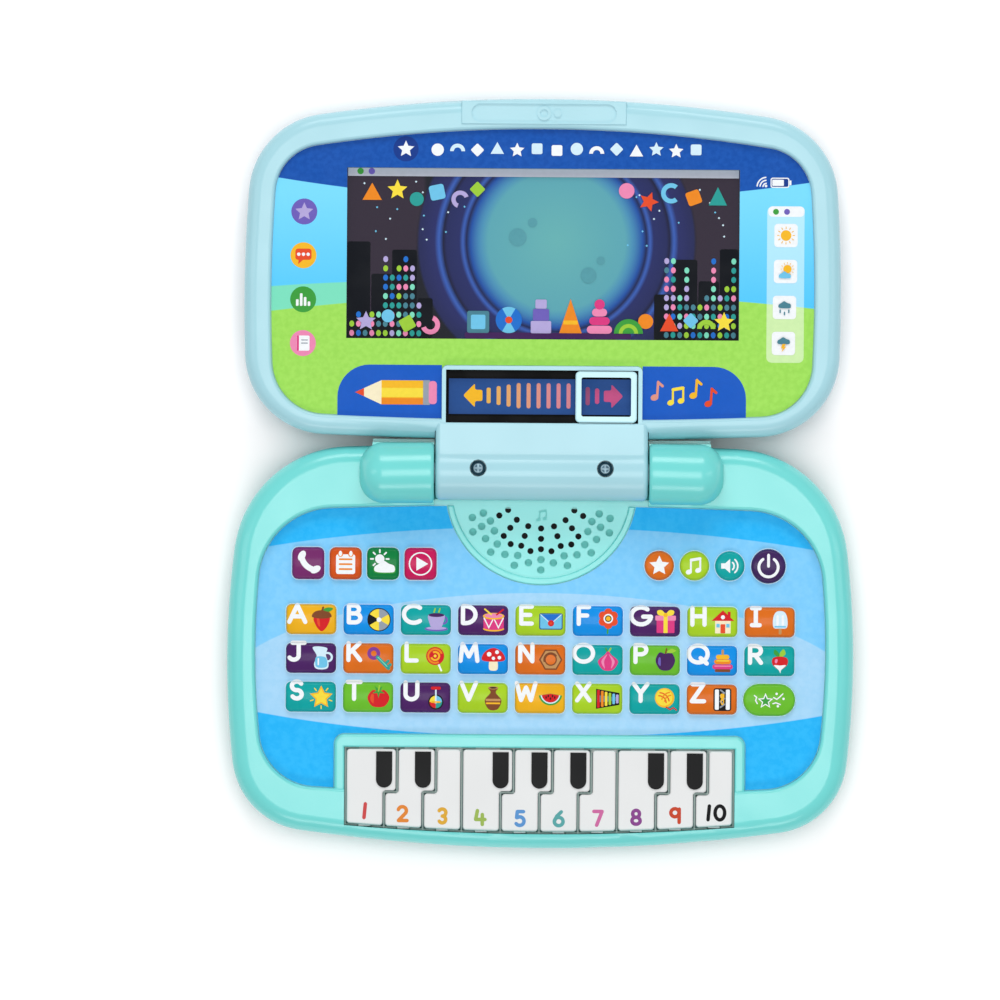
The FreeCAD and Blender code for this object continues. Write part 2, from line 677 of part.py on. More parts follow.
def base_top_shell():
    piece = Piece("base_top_shell")
    sketch = piece.sketch("outline", "dims.base_split")
    outline(sketch, "base")
    piece.pad(sketch, "dims.base_rim_top - dims.base_split")
    piece.fillet(level_edges(size("base_rim_top")), "dims.base_rim_round")

    sketch = piece.sketch("film_seat", "dims.base_rim_top")
    outline(sketch, "film")
    piece.pocket(sketch, "dims.base_rim_top - dims.deck_top")

    def seat_edge(edge):
        # The long outer rounding also has an edge at this height, farther out
        inside = edge.BoundBox.YMax < size("film_rear_end") + MARGIN
        reach = max(abs(edge.BoundBox.XMin), abs(edge.BoundBox.XMax))
        outside = reach < size("film_half_width") + MARGIN
        above_front = edge.BoundBox.YMin > size("film_front_end") - MARGIN
        return level_edges(size("base_rim_top"))(edge) and inside and outside and above_front
    piece.fillet(seat_edge, "dims.rim_inner_round")

    # Knuckles with domed outer ends, and the blocks under them
    inner, outer = size("knuckle_inner"), size("knuckle_outer")
    radius, dome = size("knuckle_radius"), size("knuckle_dome")
    sketch = piece.sketch("knuckle_blocks", "dims.base_split")
    for side in (-1, 1):
        edges = sorted((side * inner, side * size("knuckle_foot_outer")))
        box(sketch, edges[0], edges[1], size("knuckle_foot_front"), radius)
    piece.pad(sketch, "dims.hinge_height - dims.base_split")
    sketch = piece.sketch("shelves", "dims.base_split")
    for side in (-1, 1):
        edges = sorted((side * inner, side * size("knuckle_foot_outer")))
        box(sketch, edges[0], edges[1], size("knuckle_foot_front"), size("shelf_rear"))
    piece.pad(sketch, "dims.shelf_top - dims.base_split")
    sketch = piece.sketch("knuckles", "dims.hinge_height")
    bend = size("knuckle_end_round")
    for side in (-1, 1):
        near, far = (0, math.pi / 2), (math.pi / 2, math.pi)
        outer_turn, inner_turn = (near, far) if side > 0 else (far, near)
        corners = (Vector(side * outer, radius - dome, 0), Vector(side * outer, 0, 0),
                   Vector(side * inner, 0, 0), Vector(side * inner, radius - bend, 0))
        for start, end in zip(corners, corners[1:]):
            sketch.addGeometry(Part.LineSegment(start, end))
        centre = Vector(side * (inner + bend), radius - bend, 0)
        sketch.addGeometry(Part.ArcOfCircle(Part.Circle(centre, UP, bend), *inner_turn))
        sketch.addGeometry(Part.LineSegment(
            Vector(side * (inner + bend), radius, 0), Vector(side * (outer - dome), radius, 0)))
        centre = Vector(side * (outer - dome), radius - dome, 0)
        sketch.addGeometry(Part.ArcOfCircle(Part.Circle(centre, UP, dome), *outer_turn))
    piece.revolve(sketch)

    # Speaker panel with a raised ring, and the raised frame of the piano
    sketch = piece.sketch("speaker_panel", "dims.deck_top - dims.deck_thickness")
    disc(sketch, 0, size("grille_mid"), "grille_radius")
    piece.pad(sketch, "dims.grille_ring_top - dims.deck_top + dims.deck_thickness")
    sketch = piece.sketch("speaker_dish", "dims.base_rim_top + dims.overcut")
    number = sketch.addGeometry(Part.Circle(
        Vector(0, size("grille_mid"), 0), UP, size("grille_radius") - size("grille_ring")))
    bind(sketch, Sketcher.Constraint("Radius", number, size("grille_radius") - size("grille_ring")),
         "dims.grille_radius - dims.grille_ring")
    piece.pocket(sketch, "dims.base_rim_top + dims.overcut - dims.grille_top")
    sketch = piece.sketch("piano_frame", "dims.deck_top - dims.deck_thickness")
    middle = (size("piano_frame_rear") + size("piano_frame_front")) / 2
    rounded(sketch, 0, middle, 2 * size("piano_frame_half"),
            size("piano_frame_rear") - size("piano_frame_front"), size("piano_frame_corner"))
    piece.pad(sketch, "dims.piano_frame_top - dims.deck_top + dims.deck_thickness")

    # Cavity, trough for the lid's barrel and opening for the piano keys
    sketch = piece.sketch("cavity", "dims.deck_top - dims.deck_thickness")
    outline(sketch, "base", "base_wall")
    piece.pocket(sketch, "dims.deck_top - dims.deck_thickness - dims.base_split")
    sketch = piece.sketch("trough_floor", "dims.trough_under")
    across = inner + size("base_wall")
    box(sketch, -across, across, size("trough_front") - size("root"),
        size("base_rear_end") - size("base_wall") + size("root"))
    piece.pad(sketch, "dims.deck_top - dims.deck_thickness + dims.root - dims.trough_under")
    height = size("hinge_height")
    over = height + 2 * radius
    sketch = piece.sketch("trough", "dims.knuckle_inner", "YZ_Plane")
    deep = size("trough_radius")
    front_turn = math.asin((height - size("deck_top")) / deep)
    rear_turn = math.asin((height - size("trough_rear_floor")) / deep)
    trough = Part.ArcOfCircle(Part.Circle(Vector(0, height, 0), UP, deep),
                              math.pi + front_turn, 2 * math.pi - rear_turn)
    sketch.addGeometry(trough)
    front = size("trough_front")
    rear = size("grille_radius")
    run = (trough.EndPoint, Vector(rear, size("trough_rear_floor"), 0), Vector(rear, over, 0),
           Vector(front, over, 0), Vector(front, size("deck_top"), 0), trough.StartPoint)
    for start, end in zip(run, run[1:]):
        sketch.addGeometry(Part.LineSegment(start, end))
    piece.pocket(sketch, "2 * dims.knuckle_inner")
    sketch = piece.sketch("piano_well", "dims.base_rim_top")
    half, far = size("well_half"), size("well_front")
    bow = math.asin(half / size("well_arc"))
    centre = Vector(0, far + size("well_arc"), 0)
    arc = Part.ArcOfCircle(Part.Circle(centre, UP, size("well_arc")),
                           1.5 * math.pi - bow, 1.5 * math.pi + bow)
    sketch.addGeometry(arc)
    run = (arc.EndPoint, Vector(half, size("well_rear"), 0), Vector(-half, size("well_rear"), 0),
           arc.StartPoint)
    for start, end in zip(run, run[1:]):
        sketch.addGeometry(Part.LineSegment(start, end))
    piece.pocket(sketch, "dims.base_rim_top - dims.deck_top + dims.deck_thickness + dims.through")
    sketch = piece.sketch("pivot_room", "dims.pivot_room_top")
    box(sketch, -half, half, size("well_rear") - size("root"), size("pivot_room_rear"))
    piece.pocket(sketch, "dims.pivot_room_top - dims.deck_top + dims.deck_thickness + dims.through")
    sketch = piece.sketch("pivot_rod", "-dims.pivot_reach", "YZ_Plane")
    disc(sketch, size("pivot_line"), size("pivot_height"), "pivot_radius")
    piece.pad(sketch, "2 * dims.pivot_reach")

    # Bores for the lid's stub axles
    for level in ("dims.knuckle_inner + dims.axle_bore_depth", "-dims.knuckle_inner"):
        sketch = piece.sketch("axle_bore", level, "YZ_Plane")
        disc(sketch, 0, height, "axle_bore")
        piece.pocket(sketch, "dims.axle_bore_depth")

    # Screw posts
    sketch = piece.sketch("posts", "dims.post_bottom")
    discs(sketch, base_post_places(), "post_radius")
    piece.pad(sketch, "dims.deck_top - dims.deck_thickness + dims.root - dims.post_bottom")
    sketch = piece.sketch("post_bores", "dims.post_bottom + dims.post_bore_depth")
    discs(sketch, base_post_places(), "post_bore")
    piece.pocket(sketch, "dims.post_bore_depth")

    # Opening for the key deck with a ledge over its flange, sound holes and blind holes
    sketch = piece.sketch("deck_opening", "dims.deck_top")
    deck_outline(sketch, 0.0)
    piece.pocket(sketch, "dims.deck_thickness")
    sketch = piece.sketch("deck_ledge", "dims.deck_top - dims.deck_thickness / 2")
    deck_outline(sketch, size("deck_ledge"))
    piece.pocket(sketch, "dims.deck_thickness / 2")
    places = list(grille_holes())
    sketch = piece.sketch("sound_holes", "dims.grille_top")
    discs(sketch, [place for place in places if goes_through(place)], "hole_radius")
    piece.pocket(sketch, "dims.grille_top - dims.deck_top + dims.deck_thickness")
    sketch = piece.sketch("dimples", "dims.grille_top")
    discs(sketch, [place for place in places if not goes_through(place)], "dimple_radius")
    piece.pocket(sketch, "dims.dimple_depth")

    # Rounded edges of the speaker panel's ring, the piano's frame and its opening
    def frame_edge(edge):
        sides = max(abs(edge.BoundBox.XMin), abs(edge.BoundBox.XMax)) > size("piano_frame_half") - TINY
        flat = sides and edge.BoundBox.XLength < TINY
        behind = edge.BoundBox.YMin > size("well_rear")
        return level_edges(size("piano_frame_top"))(edge) and (flat or behind)

    def well_edge(edge):
        sides = abs(max(abs(edge.BoundBox.XMin), abs(edge.BoundBox.XMax)) - size("well_half")) < TINY
        flat = sides and edge.BoundBox.XLength < TINY
        behind = abs(edge.BoundBox.YMin - size("well_rear")) < TINY and edge.BoundBox.YLength < TINY
        return level_edges(size("piano_frame_top"))(edge) and (flat or behind)
    piece.fillet(level_edges(size("grille_ring_top")), "dims.grille_ring_round")
    piece.fillet(frame_edge, "dims.piano_frame_round")
    piece.fillet(well_edge, "dims.well_round")
    return piece.body


def base_bottom_shell():
    piece = Piece("base_bottom_shell")
    sketch = piece.sketch("outline", "dims.foot_height")
    outline(sketch, "base", "seam_inset")
    piece.pad(sketch, "dims.base_split - dims.foot_height")
    sketch = piece.sketch("cavity", "dims.base_split")
    outline(sketch, "base", "base_wall")
    piece.pocket(sketch, "dims.base_split - dims.foot_height - dims.base_floor")
    piece.fillet(level_edges(size("foot_height") + size("base_floor")),
                 "dims.base_under_round - dims.base_wall")
    piece.fillet(level_edges(size("foot_height")), "dims.base_under_round")

    # Four feet
    feet = [(side * size(f"foot_across_{spot}"), size(f"post_along_{spot}"))
            for spot in ("rear", "front") for side in (-1, 1)]
    sketch = piece.sketch("feet")
    discs(sketch, feet, "foot_radius")
    piece.pad(sketch, "dims.foot_height + dims.base_floor / 2")

    # Bosses for the screws and for the battery door's screw
    sketch = piece.sketch("bosses", "dims.foot_height + dims.base_floor / 2")
    discs(sketch, base_post_places(), "boss_radius")
    piece.pad(sketch, "dims.boss_top - dims.foot_height - dims.base_floor / 2")
    sketch = piece.sketch("door_boss", "dims.foot_height + dims.base_floor / 2")
    disc(sketch, 0, size("door_screw_along"), "post_radius")
    piece.pad(sketch, "dims.door_boss_top - dims.foot_height - dims.base_floor / 2")

    # Battery bay: walls and ceiling round a pocket that opens downwards
    half, wall = size("bay_half"), size("bay_wall")
    sketch = piece.sketch("bay_block", "dims.foot_height + dims.base_floor / 2")
    box(sketch, -half - wall, half + wall, size("bay_front") - wall, size("bay_rear") + wall)
    piece.pad(sketch, "dims.bay_top + dims.bay_ceiling - dims.foot_height - dims.base_floor / 2")
    sketch = piece.sketch("bay", "dims.bay_top")
    band(sketch, "bay_half", "bay_front", "bay_rear")
    piece.pocket(sketch, "dims.bay_top")
    sketch = piece.sketch("door_seat", "dims.foot_height + dims.door_seat")
    band(sketch, "door_half", "door_front", "door_rear")
    piece.pocket(sketch, "dims.foot_height + dims.door_seat")
    sketch = piece.sketch("door_tab_seat", "dims.foot_height + dims.door_seat")
    number = sketch.addGeometry(Part.Circle(
        Vector(0, size("door_screw_along"), 0), UP, size("door_tab_radius") + size("door_gap")))
    bind(sketch, Sketcher.Constraint(
        "Radius", number, size("door_tab_radius") + size("door_gap")),
        "dims.door_tab_radius + dims.door_gap")
    piece.pocket(sketch, "dims.foot_height + dims.door_seat")

    # Screw holes
    sketch = piece.sketch("clear_holes", "dims.boss_top")
    discs(sketch, base_post_places(), "screw_hole")
    piece.pocket(sketch, "dims.boss_top")
    sketch = piece.sketch("sinks", "dims.sink_top")
    discs(sketch, base_post_places(), "sink_radius")
    piece.pocket(sketch, "dims.sink_top")
    sketch = piece.sketch("door_bore", "dims.door_bore_top")
    disc(sketch, 0, size("door_screw_along"), "post_bore")
    piece.pocket(sketch, "dims.door_bore_top")
    return piece.body


def key_deck():
    """Plate with the openings of the caps, held by a flange under the top shell's ledge."""
    piece = Piece("key_deck")
    sketch = piece.sketch("flange", "dims.deck_top - dims.deck_thickness")
    deck_outline(sketch, size("deck_ledge") - size("deck_fit"))
    piece.pad(sketch, "dims.deck_thickness / 2")
    sketch = piece.sketch("plate", "dims.deck_top - dims.deck_thickness / 2")
    deck_outline(sketch, -size("deck_fit"))
    piece.pad(sketch, "dims.deck_thickness / 2")
    sketch = piece.sketch("key_openings", "dims.deck_top")
    key_openings(sketch, size("flange_width") + size("deck_clearance"))
    piece.pocket(sketch, "dims.deck_thickness")
    return piece.body


def keyboard_film():
    piece = Piece("keyboard_film")
    sketch = piece.sketch("outline", "dims.deck_top")
    outline(sketch, "film", "film_gap")
    piece.pad(sketch, "dims.film_thickness")
    top = "dims.deck_top + dims.film_thickness"
    sketch = piece.sketch("speaker_cut", top)
    reach = size("grille_radius") + size("film_gap")
    number = sketch.addGeometry(Part.Circle(Vector(0, size("grille_mid"), 0), UP, reach))
    bind(sketch, Sketcher.Constraint("Radius", number, reach), "dims.grille_radius + dims.film_gap")
    piece.pocket(sketch, "dims.film_thickness")
    sketch = piece.sketch("piano_cut", top)
    gap = size("film_gap")
    rear, front = size("piano_frame_rear") + gap, size("film_front_end") - size("overcut")
    rounded(sketch, 0, (rear + front) / 2, 2 * (size("piano_frame_half") + gap), rear - front,
            size("piano_frame_corner") + gap)
    piece.pocket(sketch, "dims.film_thickness")
    sketch = piece.sketch("openings", top)
    key_openings(sketch, size("film_clearance"))
    piece.pocket(sketch, "dims.film_thickness")
    return piece.body


def cap(label, across, along, draw):
    """Cap with a retaining flange and a rounded top edge, built at its own middle."""
    piece = Piece(label)
    sketch = piece.sketch("flange", "dims.key_bottom")
    draw(sketch, size("flange_width"))
    piece.pad(sketch, "dims.flange_top - dims.key_bottom")
    sketch = piece.sketch("cap", "dims.key_bottom")
    draw(sketch, 0.0)
    piece.pad(sketch, "dims.key_top - dims.key_bottom")
    piece.fillet(level_edges(size("key_top")), "dims.key_round")
    piece.body.Placement.Base = Vector(across, along, 0)
    return piece.body


def key_caps():
    def letter(sketch, margin):
        rounded(sketch, 0, 0, size("key_width") + 2 * margin, size("key_depth") + 2 * margin,
                size("key_corner") + margin)

    def oval(sketch, margin):
        depth = size("wide_key_depth") + 2 * margin
        rounded(sketch, 0, 0, size("wide_key_width") + 2 * margin, depth, depth / 2)

    def square(sketch, margin):
        width = size("square_key") + 2 * margin
        rounded(sketch, 0, 0, width, width, size("square_corner") + margin)

    row = size("button_row")
    for name, across, along in letter_keys():
        yield cap(name, across, along, oval if name == "key_oval" else letter)
    for name, across in square_keys():
        yield cap(name, across, row, square)
    for name, across, radius in round_keys():
        def circle(sketch, margin, radius=radius):
            sketch.addGeometry(Part.Circle(Vector(0, 0, 0), UP, size(radius) + margin))
        yield cap(name, across, row, circle)


def piano_key(index):
    """One key: stepped sides, rounded edges, a saddle on the pivot rod and a front tab."""
    pitch = (2 * size("piano_half") + size("piano_gap")) / len(PIANO_INLAYS)
    left = -size("piano_half") + index * pitch
    right = left + pitch - size("piano_gap")
    step = size("piano_step")
    left_rear = left + (step if index and PIANO_INLAYS[index - 1] else 0)
    right_rear = right + (step if PIANO_INLAYS[index] else 0)

    def front_at(across):
        arc = size("well_arc")
        return size("piano_front") + arc - math.sqrt(arc ** 2 - across ** 2)

    line, rear = size("piano_step_line"), size("piano_rear")
    corners = [Vector(left, front_at(left), 0), Vector(right, front_at(right), 0)]
    half_gap = size("piano_gap") / 2
    if right_rear > right:
        corners += [Vector(right, line + half_gap, 0), Vector(right_rear, line + half_gap, 0)]
    corners += [Vector(right_rear, rear, 0), Vector(left_rear, rear, 0)]
    if left_rear > left:
        corners += [Vector(left_rear, line - half_gap, 0), Vector(left, line - half_gap, 0)]
    piece = Piece(f"piano_key_{index + 1}")
    sketch = piece.sketch("outline", "dims.piano_top - dims.piano_thickness")
    polygon(sketch, corners)
    piece.pad(sketch, "dims.piano_thickness")
    piece.fillet(upright_edges, "dims.piano_corner")
    piece.fillet(level_edges(size("piano_top")), "dims.piano_round")

    # Saddle that rests on the rod, joined to the rear end by its own arm
    middle = (left_rear + right_rear) / 2
    piece_left = middle - size("saddle_width") / 2
    pivot = Vector(size("pivot_line"), size("pivot_height"), 0)
    cut = math.asin((size("saddle_cut") - pivot.y) / size("saddle_radius"))
    inner_cut = math.asin((size("saddle_cut") - pivot.y) / size("saddle_bore"))
    sketch = piece.sketch("saddle", f"{piece_left:.4f}", "YZ_Plane")
    outer = Part.ArcOfCircle(Part.Circle(pivot, UP, size("saddle_radius")), cut, math.pi / 2)
    bore = Part.ArcOfCircle(Part.Circle(pivot, UP, size("saddle_bore")), inner_cut, math.pi - inner_cut)
    into_key = rear - size("root")
    top = pivot.y + size("saddle_radius")
    low = size("piano_top") - size("piano_thickness") + size("saddle_lift")
    run = (outer.EndPoint, Vector(into_key, top, 0), Vector(into_key, low, 0),
           Vector(pivot.x - size("saddle_radius"), low, 0),
           Vector(pivot.x - size("saddle_radius"), size("saddle_cut"), 0), bore.EndPoint)
    sketch.addGeometry(outer)
    sketch.addGeometry(bore)
    for start, end in zip(run, run[1:]):
        sketch.addGeometry(Part.LineSegment(start, end))
    sketch.addGeometry(Part.LineSegment(bore.StartPoint, outer.StartPoint))
    piece.pad(sketch, "dims.saddle_width")

    # Tab in the gap ahead of the key
    middle = (left + right) / 2
    half = size("front_tab_width") / 2
    sketch = piece.sketch("front_tab", "dims.piano_top - dims.piano_thickness")
    box(sketch, middle - half, middle + half,
        front_at(middle) - size("front_tab_reach"), front_at(middle) + size("root"))
    piece.pad(sketch, "dims.front_tab_height")

    # Raised black inlay with a round front end, over the gap to the next key
    if PIANO_INLAYS[index]:
        half = size("inlay_width") / 2
        centre_across = right + size("piano_gap") / 2
        centre = Vector(centre_across, size("inlay_front") + half, 0)
        sketch = piece.sketch("inlay", "dims.piano_top - dims.piano_thickness / 2")
        sketch.addGeometry(Part.ArcOfCircle(Part.Circle(centre, UP, half), math.pi, 2 * math.pi))
        rear = size("inlay_rear")
        run = (centre + Vector(half, 0, 0), Vector(centre.x + half, rear, 0),
               Vector(centre.x - half, rear, 0), centre - Vector(half, 0, 0))
        for start, end in zip(run, run[1:]):
            sketch.addGeometry(Part.LineSegment(start, end))
        piece.pad(sketch, "dims.piano_thickness / 2 + dims.inlay_rise")
    return piece.body


def main_board():
    piece = Piece("main_board")
    sketch = piece.sketch("outline", "dims.board_top - dims.board_thickness")
    half, rear, front = size("board_half"), size("board_rear"), size("board_front")
    notch, deep = size("board_notch_half"), size("board_notch_front")
    polygon(sketch, (Vector(-half, front, 0), Vector(half, front, 0), Vector(half, rear, 0),
                     Vector(notch, rear, 0), Vector(notch, deep, 0), Vector(-notch, deep, 0),
                     Vector(-notch, rear, 0), Vector(-half, rear, 0)))
    piece.pad(sketch, "dims.board_thickness")
    sketch = piece.sketch("chip", "dims.board_top - dims.board_thickness - dims.chip_height")
    across, along, width = size("chip_across"), size("chip_along"), size("chip_size")
    box(sketch, across - width / 2, across + width / 2, along - width / 2, along + width / 2)
    piece.pad(sketch, "dims.chip_height")
    return piece.body


def speaker():
    """Loudspeaker: frame, basket cone and magnet as one turned form."""
    piece = Piece("speaker")
    top = size("deck_top") - size("deck_thickness") - size("speaker_gap")
    low = top - size("speaker_depth")
    wide, magnet = size("speaker_radius"), size("magnet_radius")
    flange = size("speaker_flange")
    sketch = piece.sketch("section", "dims.speaker_mid * -1", "XZ_Plane")
    profile = (Vector(0, low, 0), Vector(magnet, low, 0),
               Vector(magnet, low + size("magnet_height"), 0), Vector(wide - flange, top - flange, 0),
               Vector(wide, top - flange, 0), Vector(wide, top, 0),
               Vector(wide - size("speaker_lip"), top, 0),
               Vector(size("dust_cap_radius"), top - size("cone_depth"), 0),
               Vector(0, top - size("dust_cap_depth"), 0))
    polygon(sketch, profile)
    feature = piece.body.newObject("PartDesign::Revolution", "speaker_turn")
    feature.Profile = sketch
    feature.ReferenceAxis = (sketch, ["V_Axis"])
    feature.Angle = 360
    doc.recompute()
    return piece.body


def battery_door():
    piece = Piece("battery_door")
    gap = size("door_gap")
    level = "dims.foot_height + dims.door_seat - dims.door_thickness"
    sketch = piece.sketch("panel", level)
    rear, front = size("door_rear") - gap, size("door_front") + gap
    half = size("door_half") - gap
    box(sketch, -half, half, front, rear)
    piece.pad(sketch, "dims.door_thickness")
    sketch = piece.sketch("tab", level)
    disc(sketch, 0, size("door_screw_along"), "door_tab_radius")
    piece.pad(sketch, "dims.door_thickness")
    sketch = piece.sketch("screw_hole", "dims.foot_height + dims.door_seat")
    disc(sketch, 0, size("door_screw_along"), "screw_hole")
    piece.pocket(sketch, "dims.door_seat")
    sketch = piece.sketch("screw_sink", "dims.door_sink_top")
    disc(sketch, 0, size("door_screw_along"), "sink_radius")
    piece.pocket(sketch, "dims.door_sink_top")
    # Grip ribs along the front edge
    sketch = piece.sketch("grip", f"{level} + dims.grip_depth")
    wide = size("grip_half")
    for number in range(GRIP_GROOVES):
        low = front + size("grip_first") + number * size("grip_pitch")
        box(sketch, -wide, wide, low, low + size("grip_width"))
    piece.pocket(sketch, "dims.grip_depth")
    return piece.body


def compound(label, members):
    group = doc.addObject("Part::Compound", label)
    group.Label = label
    group.Links = members
    return group


def battery_contacts():
    """Contacts of three cells that lie side by side with alternate ends."""
    contacts = []
    high, square = size("cell_height"), size("contact_size")
    thick = size("contact_thickness")
    wall = size("bay_half") - size("contact_gap")
    for number in range(CELLS):
        way = 1 if number % 2 == 0 else -1
        along = size("cell_mid") + (number - 1) * size("cell_pitch")
        for side in (-1, 1):
            plate = doc.addObject("Part::Box", f"plate_{number}_{side + 1}")
            plate.setExpression("Length", "dims.contact_thickness")
            plate.setExpression("Width", "dims.contact_size")
            plate.setExpression("Height", "dims.contact_size")
            left = side * wall if side < 0 else wall - thick
            plate.Placement.Base = Vector(left, along - square / 2, high - square / 2)
            if side == way:
                contacts.append(plate)
                continue
            # The flat end of a cell stands on a spring, its nub on a plain plate
            coil = doc.addObject("Part::Cone", f"coil_{number}")
            coil.setExpression("Radius1", "dims.spring_wide")
            coil.setExpression("Radius2", "dims.spring_narrow")
            coil.setExpression("Height", "dims.spring_length")
            coil.Placement = FreeCAD.Placement(
                Vector(-way * (wall - thick), along, high), FreeCAD.Rotation(UP, Vector(way, 0, 0)))
            joined = doc.addObject("Part::Fuse", f"spring_{number}")
            joined.Base, joined.Tool = plate, coil
            contacts.append(joined)
    return compound("battery_contacts", contacts)


def screw(label, place, down, length):
    """Pan-head screw with a cross recess; down is the direction of its shank."""
    head_height = size("screw_head_height")
    head = doc.addObject("Part::Cylinder", f"{label}_head")
    head.setExpression("Radius", "dims.screw_head_radius")
    head.setExpression("Height", "dims.screw_head_height")
    shank = doc.addObject("Part::Cylinder", f"{label}_shank")
    shank.setExpression("Radius", "dims.screw_shank")
    shank.setExpression("Height", length)
    shank.Placement.Base = Vector(0, 0, head_height - size("screw_root"))
    body = doc.addObject("Part::Fuse", f"{label}_body")
    body.Base, body.Tool = head, shank
    for turn in (0, 1):
        bar = doc.addObject("Part::Box", f"{label}_bar_{turn}")
        long_side, short_side = ("Length", "Width") if turn else ("Width", "Length")
        bar.setExpression(long_side, "dims.cross_length")
        bar.setExpression(short_side, "dims.cross_width")
        bar.setExpression("Height", "dims.cross_depth")
        reach, width = size("cross_length") / 2, size("cross_width") / 2
        bar.Placement.Base = Vector(-reach, -width, 0) if turn else Vector(-width, -reach, 0)
        cut = doc.addObject("Part::Cut", f"{label}_cut_{turn}")
        cut.Base, cut.Tool = body, bar
        body = cut
    body.Placement = FreeCAD.Placement(place, FreeCAD.Rotation(UP, Vector(0, 0, down)))
    return body


def base_screws():
    seat = size("sink_top") - size("screw_head_height")
    members = [screw(f"base_screw_{number}", Vector(across, along, seat), 1, "dims.screw_length")
               for number, (across, along) in enumerate(base_post_places())]
    place = Vector(0, size("door_screw_along"), size("door_sink_top") - size("screw_head_height"))
    members.append(screw("door_screw", place, 1, "dims.door_screw_length"))
    return compound("base_screws", members)


def lid_front_shell():
    piece = Piece("lid_front_shell")
    sketch = piece.sketch("outline", "dims.lid_split")
    outline(sketch, "lid")
    piece.pad(sketch, "dims.lid_rim_top - dims.lid_split")
    piece.fillet(level_edges(size("lid_rim_top")), "dims.lid_rim_round")
    sketch = piece.sketch("plate_seat", "dims.lid_rim_top")
    outline(sketch, "plate")
    piece.pocket(sketch, "dims.lid_rim_top - dims.lid_face")

    def seat_edge(edge):
        edge_box = edge.BoundBox
        inside = max(abs(edge_box.XMin), abs(edge_box.XMax)) < size("plate_half_width") + 1
        between = (edge_box.YMin > size("plate_front_end") - 1
                   and edge_box.YMax < size("plate_rear_end") + 1)
        return level_edges(size("lid_rim_top"))(edge) and inside and between
    piece.fillet(seat_edge, "dims.rim_inner_round")

    # Raised frame of the slot, then the camera bar in the top rim
    sketch = piece.sketch("slot_frame", "dims.lid_face - dims.lid_plate")
    front, rear = size("slot_frame_front"), size("slot_frame_rear")
    rounded(sketch, 0, (front + rear) / 2, 2 * size("slot_frame_half"), rear - front,
            size("slot_frame_corner"))
    piece.pad(sketch, "dims.lid_rim_top - dims.lid_face + dims.lid_plate")
    sketch = piece.sketch("camera_bar", "dims.lid_face - dims.lid_plate")
    band(sketch, "bar_half", "bar_front", "bar_rear")
    piece.pad(sketch, "dims.bar_top - dims.lid_face + dims.lid_plate")
    piece.fillet(level_edges(size("bar_top")), "dims.bar_round")
    sketch = piece.sketch("pill", "dims.bar_top")
    rounded(sketch, 0, size("pill_along"), 2 * size("pill_half"), 2 * size("pill_radius"),
            size("pill_radius"))
    piece.pocket(sketch, "dims.pill_depth")
    sketch = piece.sketch("rings", "dims.bar_top - dims.pill_depth")
    disc(sketch, 0, size("pill_along"), "lens_radius")
    disc(sketch, 0, size("pill_along"), "lens_inner")
    disc(sketch, size("small_lens_across"), size("pill_along"), "small_lens_radius")
    piece.pad(sketch, "dims.lens_rise")

    # Front half of the hinge barrel and its slope down to the frame
    height, radius = size("hinge_height"), size("barrel_radius")
    crease = size("barrel_crease")
    start = math.acos(crease / radius)
    sketch = piece.sketch("barrel", "-dims.barrel_half_length", "YZ_Plane")
    arc = Part.ArcOfCircle(Part.Circle(Vector(0, height, 0), UP, radius), start, math.pi)
    sketch.addGeometry(arc)
    run = (arc.EndPoint, Vector(size("slope_end"), height, 0),
           Vector(size("slope_end"), height + size("slope_rise"), 0), arc.StartPoint)
    for first, last in zip(run, run[1:]):
        sketch.addGeometry(Part.LineSegment(first, last))
    piece.pad(sketch, "2 * dims.barrel_half_length")

    # Cavity, notch for the hinge upstand, screen opening and slot
    sketch = piece.sketch("cavity", "dims.lid_face - dims.lid_plate")
    outline(sketch, "lid", "lid_wall")
    piece.pocket(sketch, "dims.lid_face - dims.lid_plate - dims.lid_split")
    sketch = piece.sketch("notch", "dims.hinge_height")
    play = size("hinge_notch_gap")
    reach = size("barrel_half_length") + play
    box(sketch, -reach, reach, size("lid_front_end") - size("root"), size("hinge_root") + play)
    piece.pocket(sketch, "dims.hinge_height - dims.lid_split")
    sketch = piece.sketch("screen", "dims.lid_face")
    band(sketch, "screen_half", "screen_front", "screen_rear")
    piece.pocket(sketch, "dims.lid_plate")
    sketch = piece.sketch("slot", "dims.lid_rim_top + dims.root")
    band(sketch, "slot_half", "slot_front", "slot_rear")
    piece.pocket(sketch, "dims.lid_rim_top + dims.root - dims.lid_face + dims.lid_plate")

    # Screw posts and the sunk holes of the hinge screws
    sketch = piece.sketch("posts", "dims.lid_post_bottom")
    discs(sketch, lid_post_places(), "post_radius")
    piece.pad(sketch, "dims.lid_face - dims.lid_plate + dims.root - dims.lid_post_bottom")
    sketch = piece.sketch("post_bores", "dims.lid_post_bottom + dims.post_bore_depth")
    discs(sketch, lid_post_places(), "post_bore")
    piece.pocket(sketch, "dims.post_bore_depth")
    spots = [(side * size("hinge_screw_across"), size("hinge_screw_along")) for side in (-1, 1)]
    sketch = piece.sketch("hinge_sinks", "dims.hinge_height + dims.barrel_radius")
    discs(sketch, spots, "hinge_sink_radius")
    piece.pocket(sketch, "dims.hinge_height + dims.barrel_radius - dims.hinge_screw_seat")
    sketch = piece.sketch("hinge_holes", "dims.hinge_screw_seat")
    discs(sketch, spots, "screw_hole")
    piece.pocket(sketch, "dims.hinge_screw_seat - dims.hinge_height")

    def barrel_end(edge):
        above = edge.BoundBox.ZMin > height - TINY
        return end_edge(edge) and above and edge.BoundBox.ZLength > size("slope_rise")
    piece.fillet(barrel_end, "dims.barrel_end_round")
    return piece.body


